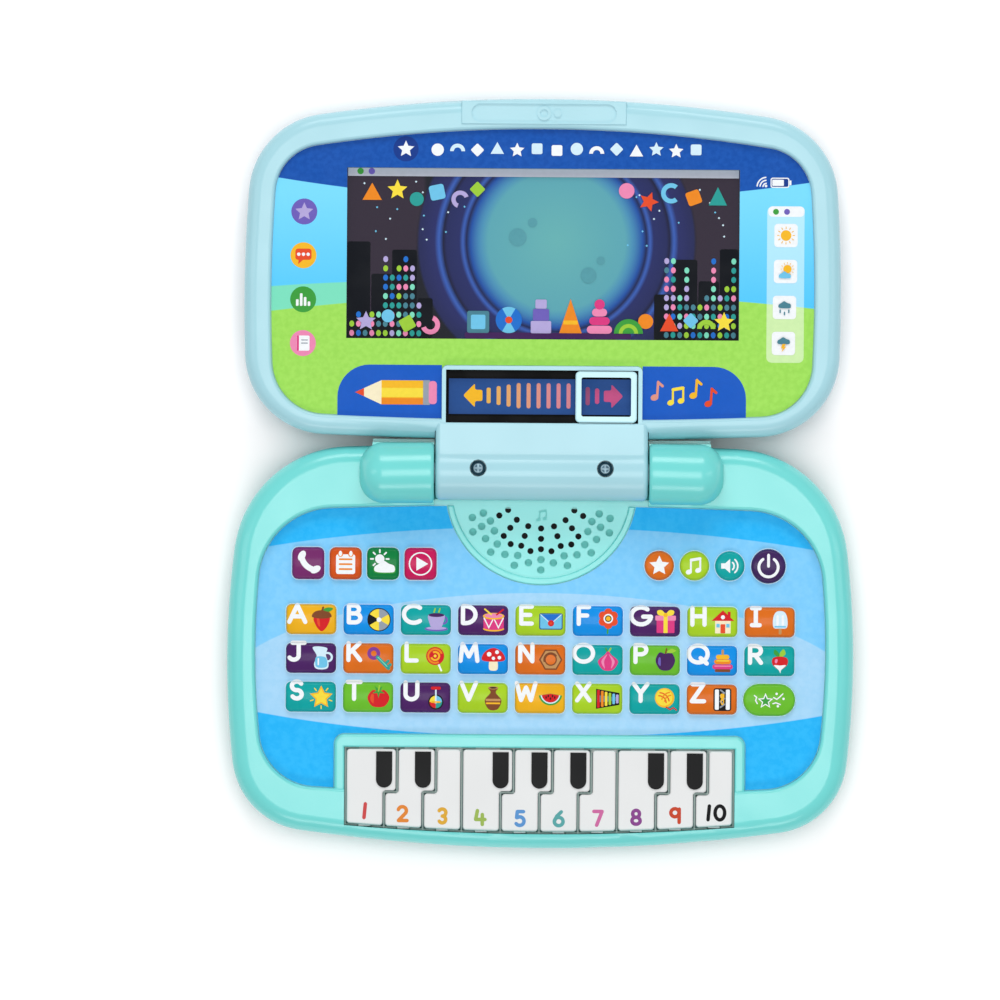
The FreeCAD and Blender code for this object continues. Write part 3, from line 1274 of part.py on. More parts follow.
def lid_rear_shell():
    piece = Piece("lid_rear_shell")
    sketch = piece.sketch("outline", "dims.lid_back")
    outline(sketch, "lid", "seam_inset")
    piece.pad(sketch, "dims.lid_split - dims.lid_back")
    sketch = piece.sketch("cavity", "dims.lid_split")
    outline(sketch, "lid", "lid_wall")
    piece.pocket(sketch, "dims.lid_split - dims.lid_back - dims.lid_floor")
    # The inner edge is rounded before the outer one, so that the wall keeps its thickness
    piece.fillet(level_edges(size("lid_back") + size("lid_floor")),
                 "dims.lid_back_round - dims.lid_wall")
    piece.fillet(level_edges(size("lid_back")), "dims.lid_back_round")

    # Track under the slider
    sketch = piece.sketch("track", "dims.lid_back + dims.lid_floor / 2")
    band(sketch, "track_half", "track_front", "track_rear")
    piece.pad(sketch, "dims.track_top - dims.lid_back - dims.lid_floor / 2")

    # Hinge upstand with the rear half of the barrel, and the stub axles
    height, radius = size("hinge_height"), size("barrel_radius")
    under = size("hinge_under")
    root, skin = size("hinge_root"), size("hinge_root_outer")
    turn = math.asin(under / radius)
    sketch = piece.sketch("barrel", "-dims.barrel_half_length", "YZ_Plane")
    arc = Part.ArcOfCircle(Part.Circle(Vector(0, height, 0), UP, radius), math.pi, 2 * math.pi - turn)
    sketch.addGeometry(arc)
    run = (arc.EndPoint, Vector(skin, height - under, 0),
           Vector(skin, size("hinge_root_low"), 0), Vector(root, size("hinge_root_low"), 0),
           Vector(root, height, 0), arc.StartPoint)
    for first, last in zip(run, run[1:]):
        sketch.addGeometry(Part.LineSegment(first, last))
    piece.pad(sketch, "2 * dims.barrel_half_length")
    for level in ("dims.barrel_half_length", "-dims.axle_reach"):
        sketch = piece.sketch("axle", level, "YZ_Plane")
        disc(sketch, 0, height, "axle_radius")
        piece.pad(sketch, "dims.axle_reach - dims.barrel_half_length")

    # Bosses and screw holes
    sketch = piece.sketch("bosses", "dims.lid_back + dims.lid_floor / 2")
    discs(sketch, lid_post_places(), "boss_radius")
    piece.pad(sketch, "dims.lid_boss_top - dims.lid_back - dims.lid_floor / 2")
    sketch = piece.sketch("clear_holes", "dims.lid_boss_top")
    discs(sketch, lid_post_places(), "screw_hole")
    piece.pocket(sketch, "dims.lid_boss_top")
    sketch = piece.sketch("sinks", "dims.sink_top")
    discs(sketch, lid_post_places(), "sink_radius")
    piece.pocket(sketch, "dims.sink_top")
    spots = [(side * size("hinge_screw_across"), size("hinge_screw_along")) for side in (-1, 1)]
    sketch = piece.sketch("hinge_bores", "dims.hinge_height")
    discs(sketch, spots, "post_bore")
    piece.pocket(sketch, "dims.hinge_bore_depth")

    def barrel_end(edge):
        return end_edge(edge) and edge.BoundBox.YMin < TINY - radius
    piece.fillet(barrel_end, "dims.barrel_end_round")
    return piece.body


def lid_faceplate():
    piece = Piece("lid_faceplate")
    sketch = piece.sketch("outline", "dims.lid_face")
    outline(sketch, "plate", "plate_gap")
    piece.pad(sketch, "dims.plate_thickness")
    top = "dims.lid_face + dims.plate_thickness"
    sketch = piece.sketch("screen", top)
    band(sketch, "screen_half", "screen_front", "screen_rear")
    piece.pocket(sketch, "dims.plate_thickness")
    sketch = piece.sketch("slot_cut", top)
    gap = size("plate_gap")
    front, rear = size("slot_frame_front") - size("overcut"), size("slot_frame_rear") + gap
    rounded(sketch, 0, (front + rear) / 2, 2 * (size("slot_frame_half") + gap), rear - front,
            size("slot_frame_corner") + gap)
    piece.pocket(sketch, "dims.plate_thickness")
    return piece.body


def screen_window():
    piece = Piece("screen_window")
    margin = size("window_margin")
    sketch = piece.sketch("panel", "dims.lid_face - dims.lid_plate - dims.window_thickness")
    half = size("screen_half") + margin
    box(sketch, -half, half, size("screen_front") - margin, size("screen_rear") + margin)
    piece.pad(sketch, "dims.window_thickness")
    return piece.body


def lid_screws():
    seat = size("sink_top") - size("screw_head_height")
    members = [screw(f"lid_screw_{number}", Vector(across, along, seat), 1, "dims.screw_length")
               for number, (across, along) in enumerate(lid_post_places())]
    top = size("hinge_screw_seat") + size("screw_head_height")
    for side in (-1, 1):
        place = Vector(side * size("hinge_screw_across"), size("hinge_screw_along"), top)
        members.append(screw(f"hinge_screw_{side + 1}", place, -1, "dims.hinge_screw_length"))
    return compound("lid_screws", members)


def swipe_slider():
    """Frame with a window, two legs through the slot and a runner foot on each leg."""
    piece = Piece("swipe_slider")
    width, height = size("slider_width"), size("slider_height")
    rest, middle, border = size("slider_rest"), size("slider_mid"), size("slider_border")
    sketch = piece.sketch("frame", "dims.slider_under")
    rounded(sketch, rest, middle, width, height, size("slider_corner"))
    piece.pad(sketch, "dims.slider_top - dims.slider_under")
    piece.fillet(level_edges(size("slider_top")), "dims.slider_round")
    sketch = piece.sketch("window", "dims.slider_top")
    rounded(sketch, rest, middle, width - 2 * border, height - 2 * border, size("slider_corner") / 2)
    piece.pocket(sketch, "dims.slider_top - dims.slider_under")
    leg, reach = size("leg_thickness"), size("runner_reach")
    left = rest - width / 2 + size("leg_inset")
    right = rest + width / 2 - size("leg_inset")
    sketch = piece.sketch("legs", "dims.leg_foot")
    for side in (-1, 1):
        edge = middle + side * height / 2
        ends = sorted((edge, edge - side * leg))
        box(sketch, left, right, ends[0], ends[1])
    piece.pad(sketch, "dims.slider_under - dims.leg_foot + dims.root")
    sketch = piece.sketch("runners", "dims.leg_foot")
    for side in (-1, 1):
        edge = middle + side * height / 2
        ends = sorted((edge - side * leg, edge + side * reach))
        box(sketch, left, right, ends[0], ends[1])
    piece.pad(sketch, "dims.runner_top - dims.leg_foot")
    return piece.body


pieces = [
    base_top_shell(),
    base_bottom_shell(),
    key_deck(),
    keyboard_film(),
    main_board(),
    speaker(),
    battery_door(),
    battery_contacts(),
    base_screws(),
    lid_front_shell(),
    lid_rear_shell(),
    lid_faceplate(),
    screen_window(),
    lid_screws(),
    swipe_slider(),
    *key_caps(),
    *[piano_key(index) for index in range(len(PIANO_INLAYS))],
]

doc.recompute()
for item in doc.Objects:
    if "Invalid" in item.State or "Error" in item.State:
        raise ValueError(f"{item.Name} failed: {item.State}")
os.makedirs("parts", exist_ok=True)
for item in pieces:
    if item.Shape.isNull() or not item.Shape.isValid():
        raise ValueError(f"{item.Label} has no sound shape")
for item in pieces:
    item.Shape.exportStep(os.path.join("parts", f"{item.Label}.step"))
    print(item.Label, len(item.Shape.Solids), "solid(s)", round(item.Shape.Volume / 1000, 2), "cm3")
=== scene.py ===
# %% [markdown]
# # A toy laptop, dressed for its picture
# The solids of this toy come from CAD and stay where they are. This file gives them their looks:
# moulded plastic, printed film, caps with ink on them, piano keys and a picture behind a window.
# The first cell loads the solids, and a helper gives the box of any one of them.

# %% Load the solids
import json
import math
import bmesh
import bpy
from mathutils import Matrix, Vector
from mathutils.geometry import tessellate_polygon


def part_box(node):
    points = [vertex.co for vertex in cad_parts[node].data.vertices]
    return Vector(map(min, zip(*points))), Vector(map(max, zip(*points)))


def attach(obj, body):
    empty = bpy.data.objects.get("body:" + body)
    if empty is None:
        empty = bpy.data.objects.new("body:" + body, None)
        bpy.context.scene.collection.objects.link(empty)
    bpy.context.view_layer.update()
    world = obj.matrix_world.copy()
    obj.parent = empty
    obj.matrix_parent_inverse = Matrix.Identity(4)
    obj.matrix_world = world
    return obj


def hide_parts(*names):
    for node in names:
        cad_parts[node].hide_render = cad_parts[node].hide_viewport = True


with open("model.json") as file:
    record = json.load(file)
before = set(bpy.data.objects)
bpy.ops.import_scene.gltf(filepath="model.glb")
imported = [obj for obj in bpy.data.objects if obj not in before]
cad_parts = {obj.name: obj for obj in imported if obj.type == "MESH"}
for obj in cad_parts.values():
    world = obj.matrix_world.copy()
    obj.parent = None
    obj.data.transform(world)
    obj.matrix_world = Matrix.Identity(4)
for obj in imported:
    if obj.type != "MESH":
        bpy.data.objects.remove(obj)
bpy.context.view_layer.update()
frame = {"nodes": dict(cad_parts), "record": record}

MM = 0.001
body_of_node = {node: body for body, nodes in frame["record"]["behaviour"]["bodies"].items()
                for node in nodes}

# %% [markdown]
# ## Colours
# A colour read off a picture is an eight-bit screen value, and a shader works with linear light.
# One small helper turns the first into the second, so every colour below can be written as seen.

# %% Colours as written
def paint(red, green, blue):
    """Linear colour from eight-bit screen values."""
    def linear(value):
        value = value / 255
        return value / 12.92 if value <= 0.04045 else ((value + 0.055) / 1.055) ** 2.4
    return (linear(red), linear(green), linear(blue), 1.0)


# Each plastic has a colour, a roughness and a share of mirroring.
PLASTIC = {
    "base_teal": ((118, 221, 216), 0.22, 0.5),
    "lid_blue": ((172, 219, 229), 0.24, 0.32),
    "slider_pale": ((200, 240, 246), 0.25, 0.4),
    "piano_white": ((231, 231, 230), 0.25, 0.1),
    "dark_plastic": ((16, 19, 21), 0.5, 0.1),
    "board_green": ((30, 92, 52), 0.4, 0.3),
}
print("plastics:", ", ".join(PLASTIC))

# %% [markdown]
# ## Wiring
# Every finish and every row of repeats below is a node tree. Two helpers keep them short: one joins
# a socket to another or gives it a plain value, and one adds a node with its settings and inputs.

# %% Wiring helpers
def put(tree, socket, value):
    """Join a socket to another one, or give it a plain value."""
    if isinstance(value, bpy.types.NodeSocket):
        tree.links.new(value, socket)
    else:
        socket.default_value = value


def add(tree, kind, inputs=None, **settings):
    """New node with its settings made and its inputs joined or set."""
    node = tree.nodes.new(kind)
    for name, value in settings.items():
        setattr(node, name, value)
    for name, value in (inputs or {}).items():
        put(tree, node.inputs[name], value)
    return node


def number(tree, operation, first, second=0.0):
    return add(tree, "ShaderNodeMath", {0: first, 1: second}, operation=operation).outputs["Value"]


def axes_of(tree, vector):
    """The three numbers of a vector, by their names."""
    return add(tree, "ShaderNodeSeparateXYZ", {"Vector": vector}).outputs


def length_of(tree, vector):
    return add(tree, "ShaderNodeVectorMath", {0: vector}, operation="LENGTH").outputs["Value"]


def edge_mask(tree, value, nought, one):
    """Nought on one side of an edge and one on the other, with a soft step between."""
    step = add(tree, "ShaderNodeMapRange", {"Value": value, "From Min": nought, "From Max": one})
    return step.outputs["Result"]


def blend(tree, factor, first, second):
    """Mix two colours, each a socket or four numbers."""
    mix = add(tree, "ShaderNodeMix", {"Factor": factor}, data_type="RGBA")
    for name, colour in (("A", first), ("B", second)):
        put(tree, next(s for s in mix.inputs if s.name == name and s.type == "RGBA"), colour)
    return next(s for s in mix.outputs if s.type == "RGBA")


print("colour channels:", len(paint(0, 0, 0)))

# %% [markdown]
# ## Moulded plastic
# Injection-moulded plastic is never perfectly even: the tool leaves a fine satin grain, and the
# gloss drifts a little from place to place. A noise of about half a millimetre feeds a bump, and a
# second, broad noise moves the roughness and the colour by a few percent. Both read Object
# coordinates, so the grain stays put when a piece moves.

# %% Plastic finish
# Scale and height in metres of the fine grain on each kind of surface.
PLASTIC_GRAIN, INK_GRAIN = (1900, 0.00002), (2600, 0.000008)
METAL_GRAIN, WINDOW_GRAIN = (1500, 0.00001), (900, 0.000002)


def surface(name):
    """New material, its tree and its Object coordinates."""
    material = bpy.data.materials.new(name)
    material.use_nodes = True
    tree = material.node_tree
    return material, tree, add(tree, "ShaderNodeTexCoord").outputs["Object"]


def shade(tree, inputs):
    """Join or set inputs of a material's shader."""
    for name, value in inputs.items():
        put(tree, tree.nodes["Principled BSDF"].inputs[name], value)


def noise(tree, place, scale):
    return add(tree, "ShaderNodeTexNoise", {"Vector": place, "Scale": scale}).outputs["Fac"]


def drift(tree, place, scale, low=0.0, high=1.0):
    """Noise that is eased between two limits."""
    step = add(tree, "ShaderNodeMapRange", {
        "Value": noise(tree, place, scale), "From Min": 0.3, "From Max": 0.7,
        "To Min": low, "To Max": high}, interpolation_type="SMOOTHSTEP")
    return step.outputs["Result"]


def grain(tree, place, scale, height):
    """Fine bumps; the height is in metres."""
    return add(tree, "ShaderNodeBump", {"Strength": 0.35, "Distance": height,
                                        "Height": noise(tree, place, scale)}).outputs["Normal"]


def uneven(tree, place, scale, colour, share):
    """Colour that drifts down to a share of itself."""
    darker = tuple(share * part for part in colour[:3]) + (1.0,)
    return blend(tree, drift(tree, place, scale), colour, darker)


def moulded(name, colour, gloss, mirror):
    material, tree, place = surface(name)
    shade(tree, {"Specular IOR Level": mirror, "Base Color": uneven(tree, place, 35, colour, 0.98),
                 "Roughness": drift(tree, place, 70, gloss - 0.02, gloss + 0.02),
                 "Normal": grain(tree, place, *PLASTIC_GRAIN)})
    return material


finish = {name: moulded(name, paint(*colour), gloss, mirror)
          for name, (colour, gloss, mirror) in PLASTIC.items()}
print("finishes:", ", ".join(finish))

# %% [markdown]
# ## The studio
# The picture looks straight down on the toy, which lies open on white. The camera stands far above
# with a long lens, so edges stay upright. Soft boxes stand all round, the strongest behind, and one
# hangs overhead, which gives the flat tops of the glossy shells their sheen. The floor is pale and keeps
# the lamps' shadows; near the toy its glow fades by ambient occlusion, a painted shadow under the front
# edge.

# %% Camera
camera_data = bpy.data.cameras.new("studio_camera")
camera = bpy.data.objects.new("studio_camera", camera_data)
bpy.context.scene.collection.objects.link(camera)
PICTURE_MIDDLE = Vector((-15.4 * MM, -9.9 * MM, 0))
PICTURE_WIDTH = 372.4 * MM
SHARP_HEIGHT, CAMERA_HEIGHT, PICTURE_TURN = 25 * MM, 3.0, math.radians(0.4)
camera.location = PICTURE_MIDDLE + Vector((0, 0, CAMERA_HEIGHT))
camera.rotation_euler.z = PICTURE_TURN
camera_data.lens = camera_data.sensor_width * (camera.location.z - SHARP_HEIGHT) / PICTURE_WIDTH
camera_data.clip_end = 20
bpy.context.scene.camera = camera
print("lens:", round(camera_data.lens, 1), "mm")

# %% Floor, world and lamps
scene = bpy.context.scene
scene.view_settings.view_transform = "Standard"
FLOOR_HALF, FLOOR_DROP = 4, 0.05 * MM
floor_mesh = bpy.data.meshes.new("studio_floor")
corners = [(x * FLOOR_HALF, y * FLOOR_HALF, 0) for x, y in ((-1, -1), (1, -1), (1, 1), (-1, 1))]
floor_mesh.from_pydata(corners, [], [(0, 1, 2, 3)])
floor = bpy.data.objects.new("studio_floor", floor_mesh)
scene.collection.objects.link(floor)
floor.location.z = -FLOOR_DROP
# Painted shadow: the floor's glow fades where ambient occlusion, leaning to the rear, finds the toy close
# by.
PAINTED_SHADOW_REACH, PAINTED_SHADOW_SIDE, PAINTED_SHADOW_RANGE = 14 * MM, (0.0, 0.5, 0.866), (0.4, 0.9)
paper, tree, place = surface("studio_paper")
path = add(tree, "ShaderNodeLightPath").outputs
seen = path["Is Camera Ray"]
for kind in ("Is Glossy Ray", "Is Transmission Ray"):
    seen = number(tree, "MAXIMUM", seen, path[kind])
painted_shadow_ao = add(tree, "ShaderNodeAmbientOcclusion", {"Distance": PAINTED_SHADOW_REACH, "Normal": PAINTED_SHADOW_SIDE})
lift = edge_mask(tree, painted_shadow_ao.outputs["AO"], *PAINTED_SHADOW_RANGE)
shade(tree, {"Base Color": (0.9, 0.9, 0.9, 1.0), "Roughness": 0.9, "Specular IOR Level": 0.0,
             "Emission Color": (0.32, 0.26, 0.26, 1.0),
             "Emission Strength": number(tree, "MULTIPLY", seen, lift)})
floor_mesh.materials.append(paper)

world = bpy.data.worlds.new("studio_world")
scene.world = world
world.use_nodes = True
sky = world.node_tree.nodes["Background"].inputs
sky["Color"].default_value = (0.93, 0.97, 1.0, 1.0)
sky["Strength"].default_value = 0.41

# Each lamp has a place, a width and a height in metres, and a power in watts.
LAMPS = {
    "soft_box_rear": ((0, 1.45, 0.95), 1.2, 0.6, 12.5),
    "soft_box_front": ((0, -1.3, 1.0), 1.2, 0.4, 6.2),
    "soft_box_left": ((-1.2, 0.1, 1.1), 0.3, 0.9, 1.6),
    "soft_box_right": ((1.2, 0.1, 1.1), 0.3, 0.9, 1.6),
    "soft_box_above": ((0, 0, 2.4), 0.9, 0.9, 12.5),
}
for name, (location, width, height, power) in LAMPS.items():
    lamp = bpy.data.lights.new(name, "AREA")
    lamp.shape = "RECTANGLE"
    lamp.size, lamp.size_y, lamp.energy = width, height, power
    item = bpy.data.objects.new(name, lamp)
    scene.collection.objects.link(item)
    item.location = location
    item.rotation_euler = (-Vector(location)).to_track_quat("-Z", "Y").to_euler()
print("lamps:", len(LAMPS))

# %% [markdown]
# ## Polished mouldings
# A CAD solid arrives as loose flat triangles. Welding a copy, smoothing it, and keeping only real
# edges sharp gives the continuous highlights of a moulding. Weighted normals keep the large flat
# faces flat beside their rounded edges. The copy replaces the solid and rides the same body.

# %% Polish helper
def new_piece(name, mesh):
    piece = bpy.data.objects.new(name, mesh)
    scene.collection.objects.link(piece)
    return piece


def polish(node, *materials, pick=None, sharp=33):
    """Welded, smooth copy of a solid; pick chooses a material for each face by its middle."""
    mesh = bpy.data.meshes.new(node + "_moulding")
    form = bmesh.new()
    form.from_mesh(frame["nodes"][node].data)
    bmesh.ops.remove_doubles(form, verts=form.verts, dist=1e-6)
    bmesh.ops.dissolve_degenerate(form, edges=form.edges, dist=1e-7)
    for face in form.faces:
        face.smooth = True
        face.material_index = pick(face.calc_center_median() / MM) if pick else 0
    for edge in form.edges:
        edge.smooth = edge.is_manifold and edge.calc_face_angle(math.pi) < math.radians(sharp)
    form.to_mesh(mesh)
    form.free()
    for spare in [a.name for a in mesh.attributes if a.name == "custom_normal"]:
        mesh.attributes.remove(mesh.attributes[spare])
    for material in materials:
        mesh.materials.append(material)
    piece = new_piece(node + "_moulding", mesh)
    weigh = piece.modifiers.new("weigh", "WEIGHTED_NORMAL")
    weigh.keep_sharp = True
    weigh.weight = 100
    piece.data = bpy.data.meshes.new_from_object(
        piece.evaluated_get(bpy.context.evaluated_depsgraph_get()))
    piece.modifiers.clear()
    piece.data.name = node + "_moulding"
    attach(piece, body_of_node[node])
    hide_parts(node)
    return piece


# The grille's middle line, its reach and the heights of its holes; boxes of the slot and its track, whose
# faces are painted dark as shade.
GRILLE_MIDDLE, GRILLE_REACH, GRILLE_REAR, HOLE_LOW, HOLE_HIGH = -5.8, 33.0, -12.6, 20.3, 22.0
SLOT_SHADE_BOX = ((-35.9, 18.7, -1), (35.9, 38.6, 27.2))
TRACK_SHADE_BOX = ((-36, 20.5, 8), (36, 37, 25.1))


def in_hole(spot):
    """One for the faces inside the holes and dimples of the speaker grille, which get a painted shade."""
    near = math.hypot(spot.x, spot.y - GRILLE_MIDDLE) < GRILLE_REACH and spot.y < GRILLE_REAR
    return int(near and HOLE_LOW < spot.z < HOLE_HIGH)


def inside(low, high):
    """Picker that gives one for the faces inside a box."""
    return lambda spot: int(all(a < part < b for a, part, b in zip(low, spot, high)))


# Painted shade: a darker, matte teal for the floors of the grille's holes and dimples, standing in for the
# shade in them.
grille_shade = moulded("painted_grille_shade", paint(126, 212, 206), 0.55, 0.05)
polish("base_top_shell", finish["base_teal"], grille_shade, pick=in_hole)
for node in ("base_bottom_shell", "battery_door", "key_deck"):
    polish(node, finish["base_teal"])
# Painted shade: faces inside the slot and under the track take dark plastic instead of the lid's blue.
polish("lid_front_shell", finish["lid_blue"], finish["dark_plastic"], pick=inside(*SLOT_SHADE_BOX))
polish("lid_rear_shell", finish["lid_blue"], finish["dark_plastic"], pick=inside(*TRACK_SHADE_BOX))
polish("swipe_slider", finish["slider_pale"])
polish("speaker", finish["dark_plastic"])

# %% [markdown]
# ## Printed film
# The keyboard lies in one printed film. Its print is three blues that meet along wide arcs, so an
# ellipse test is all it needs: scale Object coordinates so that the ellipse becomes a unit circle,
# and compare the length with one. The ink is smooth with a very slight tooth.

# %% Zones of a print
# Middle and half sizes of the two ellipses, in millimetres.
WIDE_ARC, LOW_ARC = ((0, -59.0), (168.4, 39.1)), ((0, -84.3), (120.3, 39.8))


def reach_from(tree, place, middle, half):
    """Distance from a middle as a share of the half sizes, which are in millimetres."""
    fit = add(tree, "ShaderNodeMapping", {
        "Vector": place, "Location": (middle[0] * MM, middle[1] * MM, 0),
        "Scale": (half[0] * MM, half[1] * MM, 1000)}, vector_type="TEXTURE")
    return length_of(tree, fit.outputs["Vector"])


def ellipse_mask(tree, place, middle, half, soft=0.004):
    """One inside an ellipse, nought outside."""
    return edge_mask(tree, reach_from(tree, place, middle, half), 1 + soft, 1 - soft)


def ink_surface(tree, place, colour, gloss):
    """Printed ink: a colour socket, a drifting gloss and a slight tooth."""
    shade(tree, {"Specular IOR Level": 0.05, "Base Color": colour,
                 "Roughness": drift(tree, place, 90, gloss - 0.03, gloss + 0.05),
                 "Normal": grain(tree, place, *INK_GRAIN)})


def film_print():
    material, tree, place = surface("film_print")
    speck = drift(tree, place, 420)
    strong = blend(tree, speck, paint(34, 180, 247), paint(48, 187, 250))
    middle = blend(tree, speck, paint(124, 203, 250), paint(134, 208, 252))
    light = blend(tree, speck, paint(164, 213, 246), paint(172, 217, 248))
    wide = ellipse_mask(tree, place, *WIDE_ARC)
    low = ellipse_mask(tree, place, *LOW_ARC)
    inner = blend(tree, low, middle, light)
    ink_surface(tree, place, blend(tree, wide, strong, inner), 0.3)
    return material


polish("keyboard_film", film_print())
print("film:", len(bpy.data.materials["film_print"].node_tree.nodes), "nodes")

# %% [markdown]
# ## Caps
# Each cap is a clear, glossy bump over its colour. A gentle crown catches the rear soft box as a
# pale glow in the upper half of the cap. The crown is too slight to need geometry: a bump whose
# height is a parabola bends the light the same way. It reads a vector that each cap's vertices
# carry, measured from the cap's own middle.

# %% Cap colours
CAP_COLOUR = {
    "amber": paint(244, 181, 32), "blue": paint(18, 146, 232), "teal": paint(16, 166, 164),
    "purple": paint(78, 36, 100), "lime": paint(172, 212, 40), "orange": paint(226, 112, 30),
    "green": paint(110, 192, 48), "crimson": paint(206, 28, 92), "plum": paint(122, 46, 108),
    "rust": paint(218, 86, 28), "forest": paint(18, 132, 66), "grape": paint(66, 40, 92),
}
CAP_OF_KEY = {
    **dict(zip("abcdefghi", "amber blue teal purple lime blue purple lime orange".split())),
    **dict(zip("jklmnopqr", "purple orange lime blue orange teal green blue teal".split())),
    **dict(zip("stuvwxyz", "teal green purple lime amber lime teal orange".split())),
}
CAP_OF_NODE = {"key_" + letter: colour for letter, colour in CAP_OF_KEY.items()}
CAP_OF_NODE |= {"key_oval": "green", "button_phone": "plum", "button_calendar": "rust",
                "button_weather": "forest", "button_play": "crimson", "button_round_a": "orange",
                "button_round_b": "lime", "button_round_c": "teal", "button_power": "grape"}
CROWN_ALONG, CROWN_ACROSS = 70 * MM, 15 * MM


def cap_finish(name, colour):
    material, tree, place = surface("cap_" + name)
    local = add(tree, "ShaderNodeAttribute", attribute_name="cap_place").outputs["Vector"]
    axes = axes_of(tree, local)
    drop = [number(tree, "DIVIDE", number(tree, "MULTIPLY", axes[axis], axes[axis]), 2 * radius)
            for axis, radius in (("X", CROWN_ALONG), ("Y", CROWN_ACROSS))]
    crown = add(tree, "ShaderNodeBump", {"Strength": 1.0, "Distance": 1.0,
                                         "Height": number(tree, "ADD", *drop)}, invert=True)
    shade(tree, {"Base Color": uneven(tree, place, 120, colour, 0.93), "Specular IOR Level": 0.08,
                 "Roughness": drift(tree, place, 160, 0.24, 0.32), "Coat Weight": 0.1,
                 "Coat Roughness": 0.12, "Normal": crown.outputs["Normal"],
                 "Coat Normal": crown.outputs["Normal"]})
    return material


def middle_of(node):
    """Middle and size of a solid's box, in millimetres."""
    low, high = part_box(node)
    return (low + high) / 2 / MM, (high - low) / MM


def give_place(piece, middle):
    """Each vertex carries its way from the middle of its own cap."""
    places = piece.data.attributes.new("cap_place", "FLOAT_VECTOR", "POINT")
    places.data.foreach_set("vector", [part for vertex in piece.data.vertices
                                       for part in (vertex.co - middle)])


cap_finishes = {name: cap_finish(name, colour) for name, colour in CAP_COLOUR.items()}
for node, colour in CAP_OF_NODE.items():
    give_place(polish(node, cap_finishes[colour]), sum(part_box(node), Vector()) / 2)
print("caps:", len(CAP_OF_NODE))

# %% [markdown]
# ## Flat shapes for pictures
# The pictures on the caps and the lid are this toy's own simple motifs. They are cut from flat
# shapes like paper: discs, blocks, stars, bands, smooth outlines and strokes. A picture is a list of
# layers, each an ink and a shape, and every layer lies a hair above the one before.

# %% Shapes
def oval(x, y, across, along=None, tilt=0, count=26):
    along = along or across
    cosine, sine = math.cos(math.radians(tilt)), math.sin(math.radians(tilt))
    ring = [(across * math.cos(math.tau * n / count), along * math.sin(math.tau * n / count))
            for n in range(count)]
    return [(x + a * cosine - b * sine, y + a * sine + b * cosine) for a, b in ring]


def block(x, y, width, height, corner=0.0, tilt=0):
    """Upright or tilted block with rounded corners."""
    reach_x, reach_y = width / 2 - corner, height / 2 - corner
    ring = []
    for quarter, (sx, sy) in enumerate(((1, 1), (-1, 1), (-1, -1), (1, -1))):
        for n in range(5 if corner else 1):
            angle = math.radians(90 * quarter + 22.5 * n)
            ring.append((sx * reach_x + corner * math.cos(angle),
                         sy * reach_y + corner * math.sin(angle)))
    cosine, sine = math.cos(math.radians(tilt)), math.sin(math.radians(tilt))
    return [(x + a * cosine - b * sine, y + a * sine + b * cosine) for a, b in ring]


def star(x, y, outer, inner, points=5, start=90):
    return [(x + r * math.cos(a), y + r * math.sin(a)) for n in range(2 * points)
            for r in (inner if n % 2 else outer,)
            for a in (math.radians(start + 180 * n / points),)]


def band(x, y, outer, inner, start, stop, count=18):
    """Part of a ring between two angles; an inner radius of nought gives a wedge."""
    angles = [math.radians(start + (stop - start) * n / count) for n in range(count + 1)]
    rim = [(x + outer * math.cos(a), y + outer * math.sin(a)) for a in angles]
    if not inner:
        return rim + [(x, y)]
    return rim + [(x + inner * math.cos(a), y + inner * math.sin(a)) for a in reversed(angles)]


def smooth(*controls, count=6):
    """Closed smooth outline through a few points."""
    total = len(controls)
    ring = []
    for n in range(total):
        p0, p1, p2, p3 = (controls[(n + k) % total] for k in (-1, 0, 1, 2))
        for k in range(count):
            t = k / count
            ring.append(tuple(
                0.5 * (2 * b + (c - a) * t + (2 * a - 5 * b + 4 * c - d) * t * t
                       + (3 * b - a - 3 * c + d) * t ** 3)
                for a, b, c, d in zip(p0, p1, p2, p3)))
    return ring


def stroke(width, *points, count=4):
    """Line of even width with round ends and mitred bends."""
    half = width / 2
    path = [Vector(points[0])]
    for point in points[1:]:
        if (Vector(point) - path[-1]).length > 1e-6:
            path.append(Vector(point))
    sides = [[], []]
    for n, here in enumerate(path):
        before = (here - path[n - 1]).normalized() if n else None
        after = (path[n + 1] - here).normalized() if n + 1 < len(path) else None
        along = ((before or after) + (after or before)).normalized()
        across = Vector((-along.y, along.x))
        reach = half / max(0.5, along.dot(after or before))
        sides[0].append(here + across * reach)
        sides[1].append(here - across * reach)

    def cap(middle, start):
        angles = [start - math.pi * k / count for k in range(1, count)]
        return [middle + half * Vector((math.cos(a), math.sin(a))) for a in angles]

    first, last = path[1] - path[0], path[-1] - path[-2]
    end = cap(path[-1], math.atan2(last.y, last.x) + math.pi / 2)
    begin = cap(path[0], math.atan2(first.y, first.x) - math.pi / 2)
    return [tuple(p) for p in sides[0] + end + sides[1][::-1] + begin]


def eased(points, reach, count=4):
    """Outline with its corners rounded off over a given reach."""
    ring = []
    for before, here, after in zip(points[-1:] + points[:-1], points, points[1:] + points[:1]):
        corner = Vector(here)
        start = corner + (Vector(before) - corner).normalized() * reach
        stop = corner + (Vector(after) - corner).normalized() * reach
        for n in range(count + 1):
            part = n / count
            ring.append(start.lerp(corner, part).lerp(corner.lerp(stop, part), part))
    return ring


def arc_line(x, y, radius, start, stop, count=10):
    angles = [math.radians(start + (stop - start) * n / count) for n in range(count + 1)]
    return [(x + radius * math.cos(a), y + radius * math.sin(a)) for a in angles]


def rays(x, y, inner, outer, pen, angles):
    """Short strokes that point away from a middle."""
    return [stroke(pen, *[(x + reach * math.cos(a), y + reach * math.sin(a)) for reach in (inner, outer)])
            for a in map(math.radians, angles)]


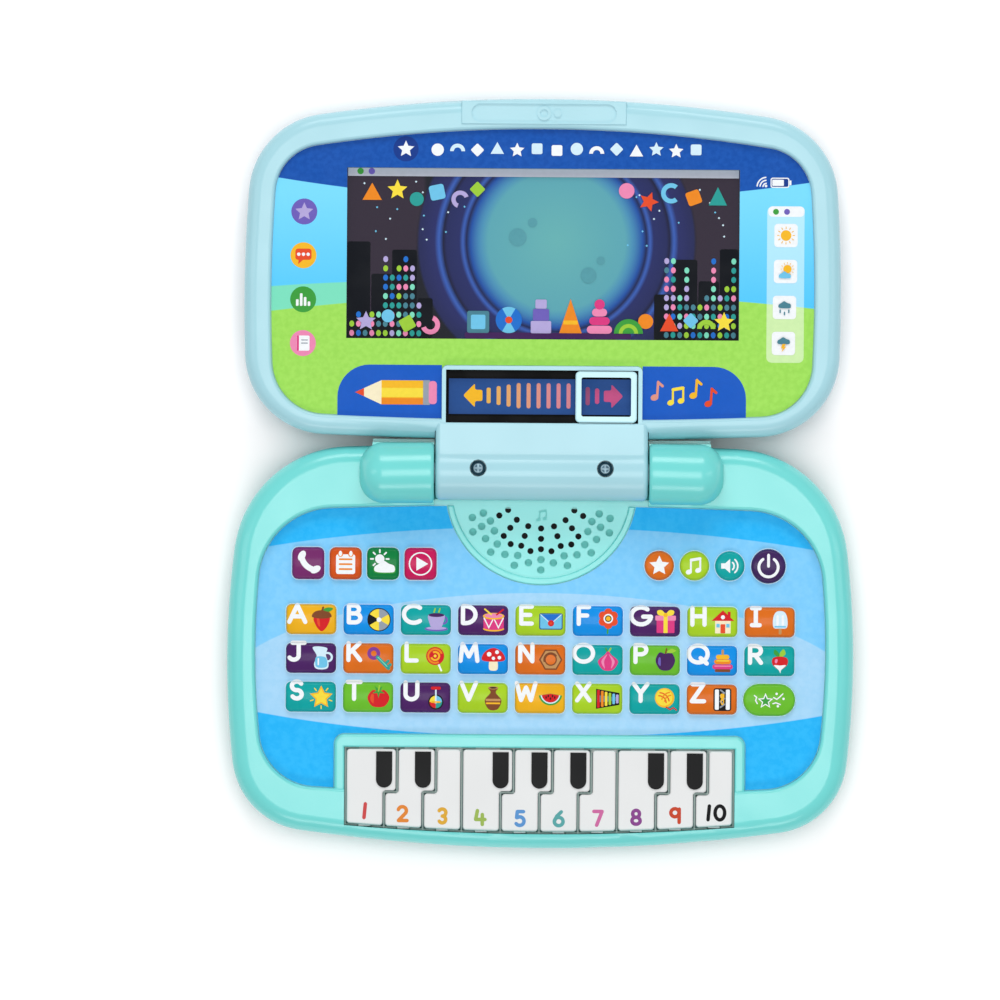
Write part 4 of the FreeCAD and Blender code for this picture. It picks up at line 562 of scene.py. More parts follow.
def moved(loop, x, y, size=1.0):
    return [(x + size * a, y + size * b) for a, b in loop]


def inked(ink, shapes, x=0, y=0, size=1.0):
    """Layers of one ink from several shapes, moved and scaled together."""
    return [(ink, moved(shape, x, y, size)) for shape in shapes]


print("star outline:", len(star(0, 0, 1, 0.45)), "points")

# %% [markdown]
# ## Inks and decals
# Printing ink is thin and a little glossy. Each ink gets one procedural finish: a faint mottling of
# its colour, a drifting gloss and a slight tooth. A decal fills its layers with triangles and lays
# them on a plane, a few hundredths of a millimetre above the piece it rides on.

# %% Inks
INK = {
    "white": (246, 248, 250), "cream": (250, 236, 200), "black": (22, 22, 24),
    "grey": (150, 158, 170), "red": (214, 32, 38), "scarlet": (232, 78, 42),
    "orange": (240, 138, 34), "amber": (248, 186, 40), "yellow": (250, 222, 66),
    "lime": (158, 205, 60), "green": (62, 158, 62), "teal": (44, 158, 150),
    "sky": (112, 196, 232), "blue": (34, 112, 204), "deep": (26, 92, 194), "navy": (24, 60, 140),
    "ice": (214, 238, 250), "lilac": (182, 168, 218), "violet": (112, 96, 184),
    "purple": (132, 62, 148), "plum": (70, 34, 92), "pink": (240, 138, 180),
    "rose": (222, 60, 130), "salmon": (226, 150, 132), "brown": (128, 72, 40), "tan": (196, 146, 92),
    "slate": (74, 130, 146), "crater": (88, 156, 166), "night": (12, 16, 24), "dusk": (58, 46, 68),
    "coral": (206, 76, 76), "apricot": (228, 136, 58), "honey": (224, 170, 58), "moss": (158, 184, 88),
    "steel": (94, 150, 208), "reed": (92, 166, 166), "orchid": (208, 108, 162),
    "damson": (140, 72, 142), "brick": (202, 74, 48), "berry": (200, 82, 132),
    # The last ink on the next line is black for painted shade under the slot and behind the grille.
    "strip": (40, 80, 144), "mauve": (158, 78, 118), "painted_shade_black": (12, 14, 16),
    "band": (188, 192, 204), "mint": (128, 222, 190), "gap": (150, 168, 163),
}


def printed(name, colour):
    material, tree, place = surface("ink_" + name)
    ink_surface(tree, place, uneven(tree, place, 700, colour, 0.96), 0.32)
    return material


inks = {name: printed(name, paint(*colour)) for name, colour in INK.items()}


def fill(form, loops, height, material_index, spot, size):
    """Fill one shape, a list of loops, with triangles at one height."""
    points = [Vector((spot[0] + size * x, spot[1] + size * y, height)) * MM
              for loop in loops for x, y in loop]
    flat = [[Vector((x, y, 0)) for x, y in loop] for loop in loops]
    corners = [form.verts.new(point) for point in points]
    for triple in tessellate_polygon(flat):
        a, b, c = (corners[n] for n in triple)
        if len({a, b, c}) < 3:
            continue
        rising = (b.co - a.co).cross(c.co - a.co).z
        if abs(rising) < 1e-16:
            continue
        face = form.faces.new((a, b, c) if rising > 0 else (a, c, b))
        face.material_index = material_index


def cut_piece(name, body, form, materials):
    """Turn a form into a piece that rides a body."""
    mesh = bpy.data.meshes.new(name)
    form.to_mesh(mesh)
    form.free()
    for material in materials:
        mesh.materials.append(material)
    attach(new_piece(name, mesh), body)


INK_LIFT = 0.02


def decal(name, body, layers, spot=(0, 0), size=1.0, plane=0.0, lift=INK_LIFT, step=0.012):
    """Printed picture from layers of (ink, loop, further loops as holes)."""
    form = bmesh.new()
    used = list(dict.fromkeys(ink for ink, *loops in layers))
    for n, (ink, *loops) in enumerate(layers):
        fill(form, loops, plane + lift + step * n, used.index(ink), spot, size)
    cut_piece(name, body, form, [inks[ink] for ink in used])


print("inks:", len(inks))

# %% [markdown]
# ## Letters and digits
# The legends are plain round-pen capitals and digits. A sign is a few lines along the middle of the
# pen, on a foot line at nought and a head line at one, or a ring for the round ones. Drawing them as
# strokes gives the even width and the round ends of such legends, whatever fonts a machine has.

# %% Round-pen signs
def ring(x, y, across, along):
    return ("ring", x, y, across, along)


CAPITAL = {
    "A": [[(0, 0), (0.41, 1), (0.82, 0)], [(0.18, 0.33), (0.64, 0.33)]],
    "B": [[(0, 0), (0, 1)], [(0, 1), (0.28, 1), *arc_line(0.28, 0.765, 0.235, 90, -90), (0, 0.53)],
          [(0, 0.53), (0.32, 0.53), *arc_line(0.32, 0.265, 0.265, 90, -90), (0, 0)]],
    "C": [arc_line(0.48, 0.5, 0.5, 50, 310, 18)],
    "D": [[(0, 0), (0, 1)], [(0, 1), (0.14, 1), *arc_line(0.14, 0.5, 0.5, 90, -90, 14), (0, 0)]],
    "E": [[(0.54, 1), (0, 1), (0, 0), (0.54, 0)], [(0, 0.51), (0.46, 0.51)]],
    "F": [[(0.52, 1), (0, 1), (0, 0)], [(0, 0.5), (0.43, 0.5)]],
    "G": [[*arc_line(0.48, 0.5, 0.5, 50, 355, 20), (0.58, 0.456)]],
    "H": [[(0, 0), (0, 1)], [(0.62, 0), (0.62, 1)], [(0, 0.5), (0.62, 0.5)]],
    "I": [[(0.2, 0), (0.2, 1)], [(0, 1), (0.4, 1)], [(0, 0), (0.4, 0)]],
    "J": [[(0.18, 1), (0.8, 1)], [(0.5, 1), (0.5, 0.27), *arc_line(0.25, 0.25, 0.25, -5, -150)]],
    "K": [[(0, 0), (0, 1)], [(0.57, 1), (0.04, 0.42)], [(0.2, 0.58), (0.6, 0)]],
    "L": [[(0, 1), (0, 0), (0.52, 0)]],
    "M": [[(0, 0), (0.1, 1), (0.43, 0.26), (0.76, 1), (0.86, 0)]],
    "N": [[(0, 0), (0, 1), (0.62, 0), (0.62, 1)]],
    "O": [ring(0.5, 0.5, 0.48, 0.5)],
    "P": [[(0, 0), (0, 1)], [(0, 1), (0.28, 1), *arc_line(0.28, 0.73, 0.27, 90, -90), (0, 0.46)]],
    "Q": [ring(0.5, 0.5, 0.48, 0.5), [(0.62, 0.26), (0.94, -0.06)]],
    "R": [[(0, 0), (0, 1)], [(0, 1), (0.28, 1), *arc_line(0.28, 0.73, 0.27, 90, -90), (0, 0.46)],
          [(0.26, 0.46), (0.56, 0)]],
    "S": [[*arc_line(0.28, 0.745, 0.255, 30, 260, 14), *arc_line(0.28, 0.25, 0.25, 80, -150, 14)]],
    "T": [[(0, 1), (0.66, 1)], [(0.33, 1), (0.33, 0)]],
    "U": [[(0, 1), (0, 0.32), *arc_line(0.3, 0.3, 0.3, 180, 360, 14), (0.6, 1)]],
    "V": [[(0, 1), (0.37, 0), (0.74, 1)]],
    "W": [[(0, 1), (0.23, 0), (0.48, 0.74), (0.73, 0), (0.96, 1)]],
    "X": [[(0, 0), (0.64, 1)], [(0, 1), (0.64, 0)]],
    "Y": [[(0, 1), (0.35, 0.46), (0.7, 1)], [(0.35, 0.46), (0.35, 0)]],
    "Z": [[(0.03, 1), (0.6, 1), (0, 0), (0.63, 0)]],
}
DIGIT = {
    "0": [ring(0.36, 0.5, 0.34, 0.5)], "1": [[(0.0, 0), (0.09, 1)]],
    "2": [[*arc_line(0.3, 0.71, 0.29, 165, -35, 14), (0.03, 0), (0.64, 0)]],
    "3": [arc_line(0.28, 0.745, 0.255, 150, -90, 14), arc_line(0.28, 0.245, 0.245, 90, -150, 14)],
    "4": [[(0.12, 1), (0, 0.36), (0.66, 0.36)], [(0.47, 0.72), (0.47, 0)]],
    "5": [[(0.54, 1), (0.1, 1), (0.05, 0.56)], arc_line(0.27, 0.31, 0.31, 128, -145, 14)],
    "6": [ring(0.32, 0.3, 0.31, 0.3), [(0.5, 1), (0.18, 0.68), (0.03, 0.36)]],
    "7": [[(0, 1), (0.58, 1), (0.2, 0)]],
    "8": [ring(0.3, 0.75, 0.24, 0.25), ring(0.3, 0.25, 0.29, 0.25)],
    "9": [ring(0.3, 0.7, 0.29, 0.29), [(0.6, 0.97), (0.6, 0)]],
}
PEN_STEP = 0.004
SHARP_BEND = math.radians(50)


def runs(line):
    """Cut a line at its sharp bends, so that each run gets round ends."""
    run = [line[0]]
    for here, after in zip(line[1:], line[2:] + [None]):
        way = Vector(here) - Vector(run[-1])
        run.append(here)
        if after and way.length and way.angle(Vector(after) - Vector(here), 0) > SHARP_BEND:
            yield run
            run = [here]
    yield run


def type_form(text, height, pen, widen):
    """Flat form of a text in millimetres: foot at nought, middle of its box at nought across."""
    unit = height - pen
    form = bmesh.new()
    start, layer = 0.0, 0
    for sign in text:
        for line in (CAPITAL | DIGIT)[sign]:
            if line[0] == "ring":
                x, y, across, along = line[1:]
                half = pen / unit / 2
                x, across = x * widen, across * widen
                parts = [[oval(x, y, across + half, along + half),
                          oval(x, y, across - half, along - half)]]
            else:
                wide = [(x * widen, y) for x, y in line]
                parts = [[stroke(pen / unit, *run)] for run in runs(wide)]
            for loops in parts:
                fill(form, loops, PEN_STEP * layer, 0, (start, pen / 2), unit)
                layer += 1
        start = max(vertex.co.x for vertex in form.verts) / MM + pen
    bmesh.ops.scale(form, verts=form.verts, vec=(1 / MM, 1 / MM, 1 / MM))
    across = [vertex.co.x for vertex in form.verts]
    bmesh.ops.translate(form, verts=form.verts, vec=(-(min(across) + max(across)) / 2, 0, 0))
    return form


print("signs:", len(CAPITAL), "capitals,", len(DIGIT), "digits")

# %% [markdown]
# ## Letters on the caps
# Each cap shows one white letter at its left that runs up over the rear edge onto the film. Straight
# cuts at the steps of the rounded edge let the letter follow that edge closely. What lies over the
# cap rides the cap, and what lies past the hairline beside it rides the base.

# %% Letter helper
KEY_TOP, KEY_EDGE, FILM_TOP, HAIRLINE = 24.1, 1.1, 22.5, 0.075
FLANGE, KEY_CORNER = 0.5, 1.9
LETTER_HEIGHT, LETTER_PEN, LETTER_WIDEN, LETTER_LIFT = 7.9, 1.6, 1.16, 0.035
LETTER_IN = 4.1


def depth_inside(x, y, half_x, half_y, corner):
    """Way in from the outline of a rounded rectangle, and the direction out."""
    over_x, over_y = abs(x) - (half_x - corner), abs(y) - (half_y - corner)
    if over_x > 0 and over_y > 0:
        reach = math.hypot(over_x, over_y)
        way = (over_x / reach, over_y / reach)
    else:
        reach = max(over_x, over_y)
        way = (1, 0) if over_x > over_y else (0, 1)
    return corner - reach, math.copysign(way[0], x), math.copysign(way[1], y)


def on_cap(x, y, half_x, half_y, lift):
    """Point on the cap, lifted by the thickness of the ink."""
    depth, out_x, out_y = depth_inside(x, y, half_x, half_y, KEY_CORNER)
    if depth >= KEY_EDGE:
        return x, y, KEY_TOP + lift
    lean = 1 - max(depth, 0) / KEY_EDGE
    rise = math.sqrt(max(0, 1 - lean * lean))
    shift = min(depth, 0) + lift * lean
    return x + shift * out_x, y + shift * out_y, KEY_TOP - KEY_EDGE + (KEY_EDGE + lift) * rise


def on_film(x, y, half_x, half_y, lift):
    """Point on the film, kept clear of the hairline round the cap."""
    depth, out_x, out_y = depth_inside(x, y, half_x, half_y, KEY_CORNER)
    shift = max(depth + HAIRLINE, 0)
    return x + shift * out_x, y + shift * out_y, FILM_TOP + lift


EDGE_STEPS = [KEY_EDGE * (1 - math.cos(math.radians(90 * n / 8))) for n in range(9)] + [1.5, 1.9]


def letter(text, node, overhang):
    low, high = (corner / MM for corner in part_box(node))
    middle = (low + high) / 2
    half_x, half_y = (high.x - low.x) / 2 - FLANGE, (high.y - low.y) / 2 - FLANGE
    form = type_form(text, LETTER_HEIGHT, LETTER_PEN, LETTER_WIDEN)
    bmesh.ops.translate(form, verts=form.verts,
                        vec=(LETTER_IN - half_x, half_y + overhang - LETTER_HEIGHT, 0))
    for way, half in ((Vector((1, 0, 0)), -half_x), (Vector((0, 1, 0)), half_y)):
        sign = 1 if half < 0 else -1
        for depth in EDGE_STEPS + [-HAIRLINE]:
            bmesh.ops.bisect_plane(form, geom=form.verts[:] + form.edges[:] + form.faces[:],
                                   plane_co=way * (half + sign * depth), plane_no=way)
    bmesh.ops.triangulate(form, faces=form.faces)
    for place in ("cap", "film"):
        split_letter(form.copy(), node, text, place, middle, half_x, half_y)
    form.free()


def split_letter(part, node, text, place, middle, half_x, half_y):
    """Keep what lies over the cap or over the film, and lay it there."""
    spare = []
    for face in part.faces:
        face.smooth = True
        spot = face.calc_center_median()
        depth = depth_inside(spot.x, spot.y, half_x, half_y, KEY_CORNER)[0]
        if not (depth > 0 if place == "cap" else depth < -HAIRLINE):
            spare.append(face)
    bmesh.ops.delete(part, geom=spare, context="FACES")
    lay = on_cap if place == "cap" else on_film
    for vertex in part.verts:
        spot = lay(vertex.co.x, vertex.co.y, half_x, half_y, vertex.co.z + LETTER_LIFT)
        vertex.co = Vector((spot[0] + middle.x, spot[1] + middle.y, spot[2])) * MM
    if part.faces:
        body = body_of_node[node] if place == "cap" else "base"
        cut_piece(f"letter_{text}_{place}", body, part, [inks["white"]])
    else:
        part.free()


# %% Letters
# Letters of the rear row run a little less far over the edge.
LETTERS_IN_ROW = 9
OVERHANG_REAR, OVERHANG = 0.5, 0.9
for index, small in enumerate("abcdefghijklmnopqrstuvwxyz"):
    letter(small.upper(), "key_" + small, OVERHANG_REAR if index < LETTERS_IN_ROW else OVERHANG)

# %% [markdown]
# ## Collars of the film
# The printed film closes snugly round each cap. A flat collar with the film's own print covers most
# of the working slit and leaves a hairline, which is what shows on the toy.

# %% Collars
COLLAR_IN, COLLAR_OUT = 0.07, 0.34
SQUARE_CORNER = 2.2


def cap_outline(node, margin):
    """Outline of a cap, grown by a margin, in millimetres."""
    middle, size = middle_of(node)
    width, depth = size.x - 2 * FLANGE + 2 * margin, size.y - 2 * FLANGE + 2 * margin
    if "round" in node or "power" in node:
        return oval(middle.x, middle.y, width / 2, count=48)
    corner = KEY_CORNER + margin
    if node == "key_oval":
        corner = depth / 2 - 0.01
    elif node.startswith("button"):
        corner = SQUARE_CORNER + margin
    return block(middle.x, middle.y, width, depth, corner)


inks["film"] = bpy.data.materials["film_print"]
collars = [("film", cap_outline(node, COLLAR_OUT), cap_outline(node, COLLAR_IN))
           for node in CAP_OF_NODE]
decal("film_collars", "base", collars, plane=FILM_TOP, lift=0.012, step=0)
print("collars:", len(collars))

# %% [markdown]
# ## Pictures on the caps
# Each letter has a small picture of its own: an acorn, a ball, a cup and so on. One unit is half
# the height of a picture. They stay on the flat top of the cap.

# %% Pictures, A to I
PICTURE = {
    "a": [("brown", stroke(0.16, (0.0, 0.6), (0.12, 1.0))),
          ("red", smooth((-0.62, 0.2), (-0.5, -0.5), (0, -1.0), (0.5, -0.5), (0.62, 0.2))),
          ("scarlet", smooth((-0.4, 0.1), (-0.34, -0.4), (-0.14, -0.6), (-0.2, 0.0))),
          ("brown", smooth((-0.8, 0.2), (-0.6, 0.62), (0, 0.76), (0.6, 0.62), (0.8, 0.2), (0, 0.06))),
          ("green", smooth((0.1, 0.8), (0.5, 1.0), (0.95, 0.92), (0.6, 0.64)))],
    "b": [("black", oval(0, 0, 0.98)), ("yellow", oval(0, 0, 0.9)),
          ("grey", band(0, 0, 0.9, 0, 30, 90)), ("black", band(0, 0, 0.9, 0, 150, 210)),
          ("grey", band(0, 0, 0.9, 0, 270, 330)), ("white", oval(0, 0, 0.2))],
    "c": [("violet", oval(0, -0.74, 0.98, 0.2)), ("lilac", oval(0, -0.68, 0.84, 0.13)),
          ("violet", oval(0.62, 0.0, 0.34, 0.36), oval(0.62, 0.0, 0.17, 0.2)),
          ("lilac", smooth((-0.68, 0.42), (-0.56, -0.3), (-0.3, -0.7), (0.3, -0.7), (0.56, -0.3),
                           (0.68, 0.42), (0, 0.5))),
          ("plum", oval(0, 0.42, 0.66, 0.16)), ("lime", stroke(0.12, (-0.2, 0.66), (-0.1, 0.96))),
          ("lime", stroke(0.12, (0.2, 0.66), (0.3, 0.96)))],
    "d": [("rose", block(0, -0.2, 1.7, 1.1, 0.14)), ("amber", oval(0, -0.7, 0.88, 0.22)),
          ("rose", oval(0, -0.6, 0.86, 0.2)),
          ("white", stroke(0.1, (-0.8, 0.2), (-0.4, -0.6), (0, 0.2), (0.4, -0.6), (0.8, 0.2))),
          ("amber", oval(0, 0.36, 0.9, 0.28)), ("pink", oval(0, 0.4, 0.76, 0.19)),
          ("yellow", stroke(0.13, (-0.2, 0.5), (-0.75, 0.95))),
          ("red", stroke(0.13, (0.25, 0.48), (0.8, 0.92)))],
    "e": [("navy", block(0, -0.05, 1.96, 1.36, 0.14)), ("sky", block(0, -0.05, 1.8, 1.2, 0.1)),
          ("blue", [(-0.88, 0.53), (0.88, 0.53), (0, -0.26)]),
          ("ice", stroke(0.07, (-0.86, 0.52), (0, -0.24), (0.86, 0.52))),
          ("red", oval(0, -0.2, 0.26)), ("scarlet", star(0, -0.2, 0.18, 0.08))],
    "f": [("green", stroke(0.14, (0, -0.2), (-0.06, -1.0))),
          *[("scarlet", oval(0.52 * math.cos(a), 0.22 + 0.52 * math.sin(a), 0.34))
            for a in (math.radians(90 + 60 * n) for n in range(6))],
          ("white", oval(0, 0.22, 0.4)), ("black", oval(0, 0.22, 0.28)),
          ("amber", oval(0, 0.22, 0.2))],
    "g": [("rose", block(0, -0.4, 1.5, 1.1, 0.08)), ("pink", block(0, 0.3, 1.72, 0.42, 0.08)),
          ("yellow", block(0, -0.22, 0.34, 1.46, 0.03)),
          ("yellow", smooth((0, 0.5), (-0.3, 0.95), (-0.7, 0.9), (-0.6, 0.56))),
          ("yellow", smooth((0, 0.5), (0.3, 0.95), (0.7, 0.9), (0.6, 0.56))),
          ("amber", oval(0, 0.56, 0.17))],
    "h": [("cream", block(0, -0.4, 1.3, 1.1, 0.04)), ("red", [(-0.95, 0.1), (0.95, 0.1), (0, 0.98)]),
          ("red", block(0.52, 0.62, 0.24, 0.5)), ("scarlet", block(0, -0.56, 0.4, 0.76, 0.06)),
          ("sky", block(-0.4, -0.3, 0.28, 0.3, 0.03)), ("sky", block(0.42, -0.3, 0.28, 0.3, 0.03)),
          ("white", oval(0, 0.4, 0.17))],
    "i": [("tan", block(0, -0.7, 0.24, 0.6, 0.1)),
          ("ice", smooth((-0.56, -0.42), (-0.58, 0.4), (-0.3, 0.9), (0.3, 0.9), (0.58, 0.4),
                         (0.56, -0.42), (0, -0.5))),
          ("white", block(-0.22, 0.16, 0.2, 0.9, 0.1)), ("white", block(0.22, 0.16, 0.2, 0.9, 0.1)),
          ("sky", block(0, -0.36, 0.98, 0.12, 0.05))],
}
print("pictures:", len(PICTURE))

# %% Pictures, J to R
PICTURE |= {
    "j": [("ice", oval(0.5, 0.08, 0.46, 0.44), oval(0.5, 0.08, 0.28, 0.27)),
          ("ice", smooth((-0.72, 0.92), (-0.4, 0.2), (-0.62, -0.5), (-0.4, -0.9), (0.4, -0.9),
                         (0.6, -0.5), (0.36, 0.3), (0.44, 0.86))),
          ("sky", smooth((-0.42, 0.1), (-0.52, -0.5), (-0.32, -0.78), (0.32, -0.78), (0.5, -0.5),
                         (0.34, 0.06))),
          ("white", block(-0.26, -0.3, 0.12, 0.6, 0.05))],
    "k": [("purple", oval(-0.42, 0.42, 0.54), oval(-0.42, 0.42, 0.24)),
          ("teal", stroke(0.3, (-0.1, 0.1), (0.82, -0.82))),
          ("teal", stroke(0.24, (0.5, -0.5), (0.8, -0.2))),
          ("teal", stroke(0.24, (0.74, -0.74), (0.98, -0.5))),
          ("mint", stroke(0.08, (-0.06, 0.1), (0.7, -0.66)))],
    "l": [("white", stroke(0.15, (0.1, -0.2), (0.44, -0.98))), ("red", oval(-0.08, 0.24, 0.76)),
          ("orange", band(-0.08, 0.24, 0.66, 0.5, 20, 300)), ("red", oval(-0.08, 0.24, 0.5)),
          ("amber", band(-0.08, 0.24, 0.42, 0.26, 200, 480)), ("red", oval(-0.08, 0.24, 0.22)),
          ("yellow", oval(-0.08, 0.24, 0.12))],
    "m": [("cream", smooth((-0.28, 0.0), (-0.36, -0.8), (0, -0.96), (0.36, -0.8), (0.28, 0.0))),
          ("red", smooth((-0.95, -0.06), (-0.72, 0.6), (0, 0.95), (0.72, 0.6), (0.95, -0.06),
                         (0, -0.2))),
          *inked("white", [oval(-0.36, 0.42, 0.19), oval(0.3, 0.6, 0.16), oval(0.5, 0.14, 0.15),
                           oval(0.0, 0.08, 0.14)])],
    "n": [("brown", star(0, 0, 0.98, 0.85, 6, 0), oval(0, 0, 0.42)),
          ("tan", star(0, 0, 0.84, 0.73, 6, 0), oval(0, 0, 0.52)),
          ("brown", band(0, 0, 0.62, 0.52, 30, 200))],
    "o": [("green", stroke(0.14, (0, 0.6), (-0.2, 0.98))), ("lime", stroke(0.14, (0, 0.6), (0.22, 0.98))),
          ("rose", smooth((0, 0.74), (-0.3, 0.42), (-0.84, -0.1), (-0.5, -0.74), (0, -0.9),
                          (0.5, -0.74), (0.84, -0.1), (0.3, 0.42))),
          ("pink", smooth((-0.06, 0.5), (-0.56, -0.1), (-0.26, -0.72), (-0.32, -0.1))),
          ("pink", smooth((0.06, 0.5), (0.56, -0.1), (0.26, -0.72), (0.32, -0.1)))],
    "p": [("brown", stroke(0.13, (0, 0.5), (0.1, 0.98))),
          ("plum", smooth((0, 0.56), (-0.5, 0.66), (-0.82, 0.0), (-0.5, -0.7), (0, -0.86),
                          (0.5, -0.7), (0.82, 0.0), (0.5, 0.66))),
          ("violet", smooth((-0.56, 0.2), (-0.6, -0.24), (-0.4, -0.44), (-0.4, 0.2))),
          ("lime", smooth((0.1, 0.7), (0.5, 0.98), (0.9, 0.82), (0.5, 0.62)))],
    "q": [("tan", block(0, 0.1, 0.2, 1.7, 0.1)), ("brown", block(0, -0.82, 1.3, 0.24, 0.08)),
          ("rose", block(0, -0.5, 1.7, 0.4, 0.2)), ("orange", block(0, -0.08, 1.42, 0.4, 0.2)),
          ("amber", block(0, 0.32, 1.12, 0.38, 0.19)), ("pink", block(0, -0.44, 1.4, 0.1, 0.05)),
          ("yellow", block(0, 0.0, 1.1, 0.1, 0.05))],
    "r": [("green", smooth((0, 0.3), (-0.5, 0.6), (-0.44, 0.98), (-0.1, 0.7))),
          ("lime", smooth((0, 0.3), (0.0, 0.7), (0.3, 1.0), (0.46, 0.6))),
          ("red", smooth((0, 0.4), (-0.6, 0.24), (-0.6, -0.3), (0, -0.72), (0.6, -0.3), (0.6, 0.24))),
          ("white", smooth((-0.5, -0.34), (0, -0.36), (0.5, -0.34), (0.1, -0.74), (0.04, -1.0),
                           (-0.1, -0.74))),
          ("pink", smooth((-0.4, 0.14), (-0.42, -0.12), (-0.26, -0.14), (-0.2, 0.14)))],
}
print("pictures:", len(PICTURE))

# %% Pictures, S to Z
PICTURE |= {
    "s": [("amber", star(0, -0.04, 1.0, 0.5)), ("yellow", star(0, -0.04, 0.76, 0.38)),
          *inked("yellow", rays(0, -0.04, 0.7, 0.94, 0.09, range(126, 486, 72)))],
    "t": [("red", smooth((0, 0.5), (-0.5, 0.6), (-0.92, 0.0), (-0.6, -0.68), (0, -0.84),
                         (0.6, -0.68), (0.92, 0.0), (0.5, 0.6))),
          ("scarlet", smooth((-0.6, 0.24), (-0.68, -0.2), (-0.42, -0.5), (-0.4, 0.2))),
          ("green", star(0, 0.5, 0.56, 0.18, 5, 54)), ("lime", stroke(0.13, (0, 0.52), (0.08, 0.98)))],
    "u": [("black", oval(0, -0.36, 0.64)), ("sky", band(0, -0.36, 0.52, 0, 0, 90)),
          ("yellow", band(0, -0.36, 0.52, 0, 90, 180)), ("red", band(0, -0.36, 0.52, 0, 180, 270)),
          ("teal", band(0, -0.36, 0.52, 0, 270, 360)), ("white", oval(0, -0.36, 0.12)),
          ("ice", stroke(0.13, (0, -0.36), (0, 0.7))), ("red", block(0, 0.8, 0.84, 0.26, 0.13)),
          ("amber", stroke(0.14, (-0.34, -0.36), (0.34, -0.36)))],
    "v": [("brown", smooth((-0.4, 0.86), (-0.22, 0.46), (-0.7, -0.2), (-0.36, -0.94), (0.36, -0.94),
                           (0.7, -0.2), (0.22, 0.46), (0.4, 0.86))),
          ("tan", block(0, -0.16, 1.26, 0.2, 0.08)), ("amber", block(0, -0.44, 1.2, 0.14, 0.06)),
          ("tan", oval(0, 0.86, 0.42, 0.13)), ("black", oval(0, 0.86, 0.3, 0.07))],
    "w": [("green", band(0, 0.42, 1.0, 0, 190, 350)), ("ice", band(0, 0.4, 0.84, 0, 190, 350)),
          ("red", band(0, 0.4, 0.74, 0, 190, 350)),
          *[("black", oval(x, y, 0.06, 0.11)) for x, y in ((-0.36, 0.08), (0, -0.02), (0.36, 0.08),
                                                         (-0.18, 0.2), (0.18, 0.2))]],
    "x": [("black", [(-0.98, 0.84), (-0.98, -0.84), (0.98, -0.5), (0.98, 0.5)]),
          ("slate", [(-0.9, 0.3), (-0.9, -0.3), (0.9, -0.14), (0.9, 0.14)]),
          *[(ink, block(x, 0, 0.22, height, 0.07)) for ink, x, height in (
              ("red", -0.78, 1.5), ("orange", -0.46, 1.34), ("yellow", -0.14, 1.18),
              ("lime", 0.18, 1.02), ("sky", 0.5, 0.88), ("lilac", 0.8, 0.74))]],
    "y": [("amber", oval(-0.04, 0.12, 0.82)), ("yellow", oval(-0.08, 0.16, 0.7)),
          ("scarlet", band(-0.5, -0.3, 0.9, 0.8, 8, 88)), ("scarlet", band(-0.5, -0.3, 0.64, 0.54, -2, 96)),
          ("orange", band(0.5, -0.2, 0.84, 0.74, 96, 170)),
          ("orange", band(0.5, -0.2, 0.58, 0.48, 88, 182)),
          ("red", stroke(0.1, (0.1, -0.66), (0.44, -0.86), (0.7, -0.7), (0.96, -0.9)))],
    "z": [("black", block(0, 0, 1.5, 1.9, 0.2)), ("white", block(-0.46, 0, 0.34, 1.7, 0.1)),
          ("white", block(0.46, 0, 0.34, 1.7, 0.1)),
          ("grey", stroke(0.13, (-0.16, 0.8), (0.16, 0.56), (-0.16, 0.32), (0.16, 0.08), (-0.16, -0.16),
                          (0.16, -0.4), (-0.16, -0.64))),
          ("amber", block(0, 0.3, 0.34, 0.4, 0.1)), ("amber", oval(0, -0.16, 0.15, 0.3),
                                                    oval(0, -0.2, 0.07, 0.14))],
}
PICTURE_SIZE, PICTURE_SHIFT = 4.45, 3.9
for small, layers in PICTURE.items():
    middle = middle_of("key_" + small)[0]
    decal("picture_" + small, "key_" + small, layers, (middle.x + PICTURE_SHIFT, middle.y),
          PICTURE_SIZE, KEY_TOP)
print("pictures:", len(PICTURE))

# %% [markdown]
# ## Signs on the buttons
# The small buttons carry everyday signs in white: a handset, a calendar page, sun and cloud, play,
# a star, a music note, a loudspeaker and the power sign. The wide green key gets a star and confetti.

# %% Signs
NOTE = [oval(-0.18, -0.62, 0.36, 0.28, 20), stroke(0.22, (0.05, -0.6), (0.14, 0.8)),
        stroke(0.25, (0.14, 0.76), (0.54, 0.42))]
TWO_NOTES = [oval(-0.58, -0.64, 0.32, 0.25, 20), oval(0.38, -0.46, 0.32, 0.25, 20),
             stroke(0.19, (-0.38, -0.6), (-0.38, 0.6)), stroke(0.19, (0.58, -0.42), (0.58, 0.78)),
             stroke(0.3, (-0.36, 0.58), (0.56, 0.74))]
CLOUD = smooth((-0.5, -0.6), (-0.62, -0.25), (-0.3, -0.02), (0.05, 0.2), (0.42, 0.0), (0.8, -0.15),
               (0.86, -0.5), (0.6, -0.64))

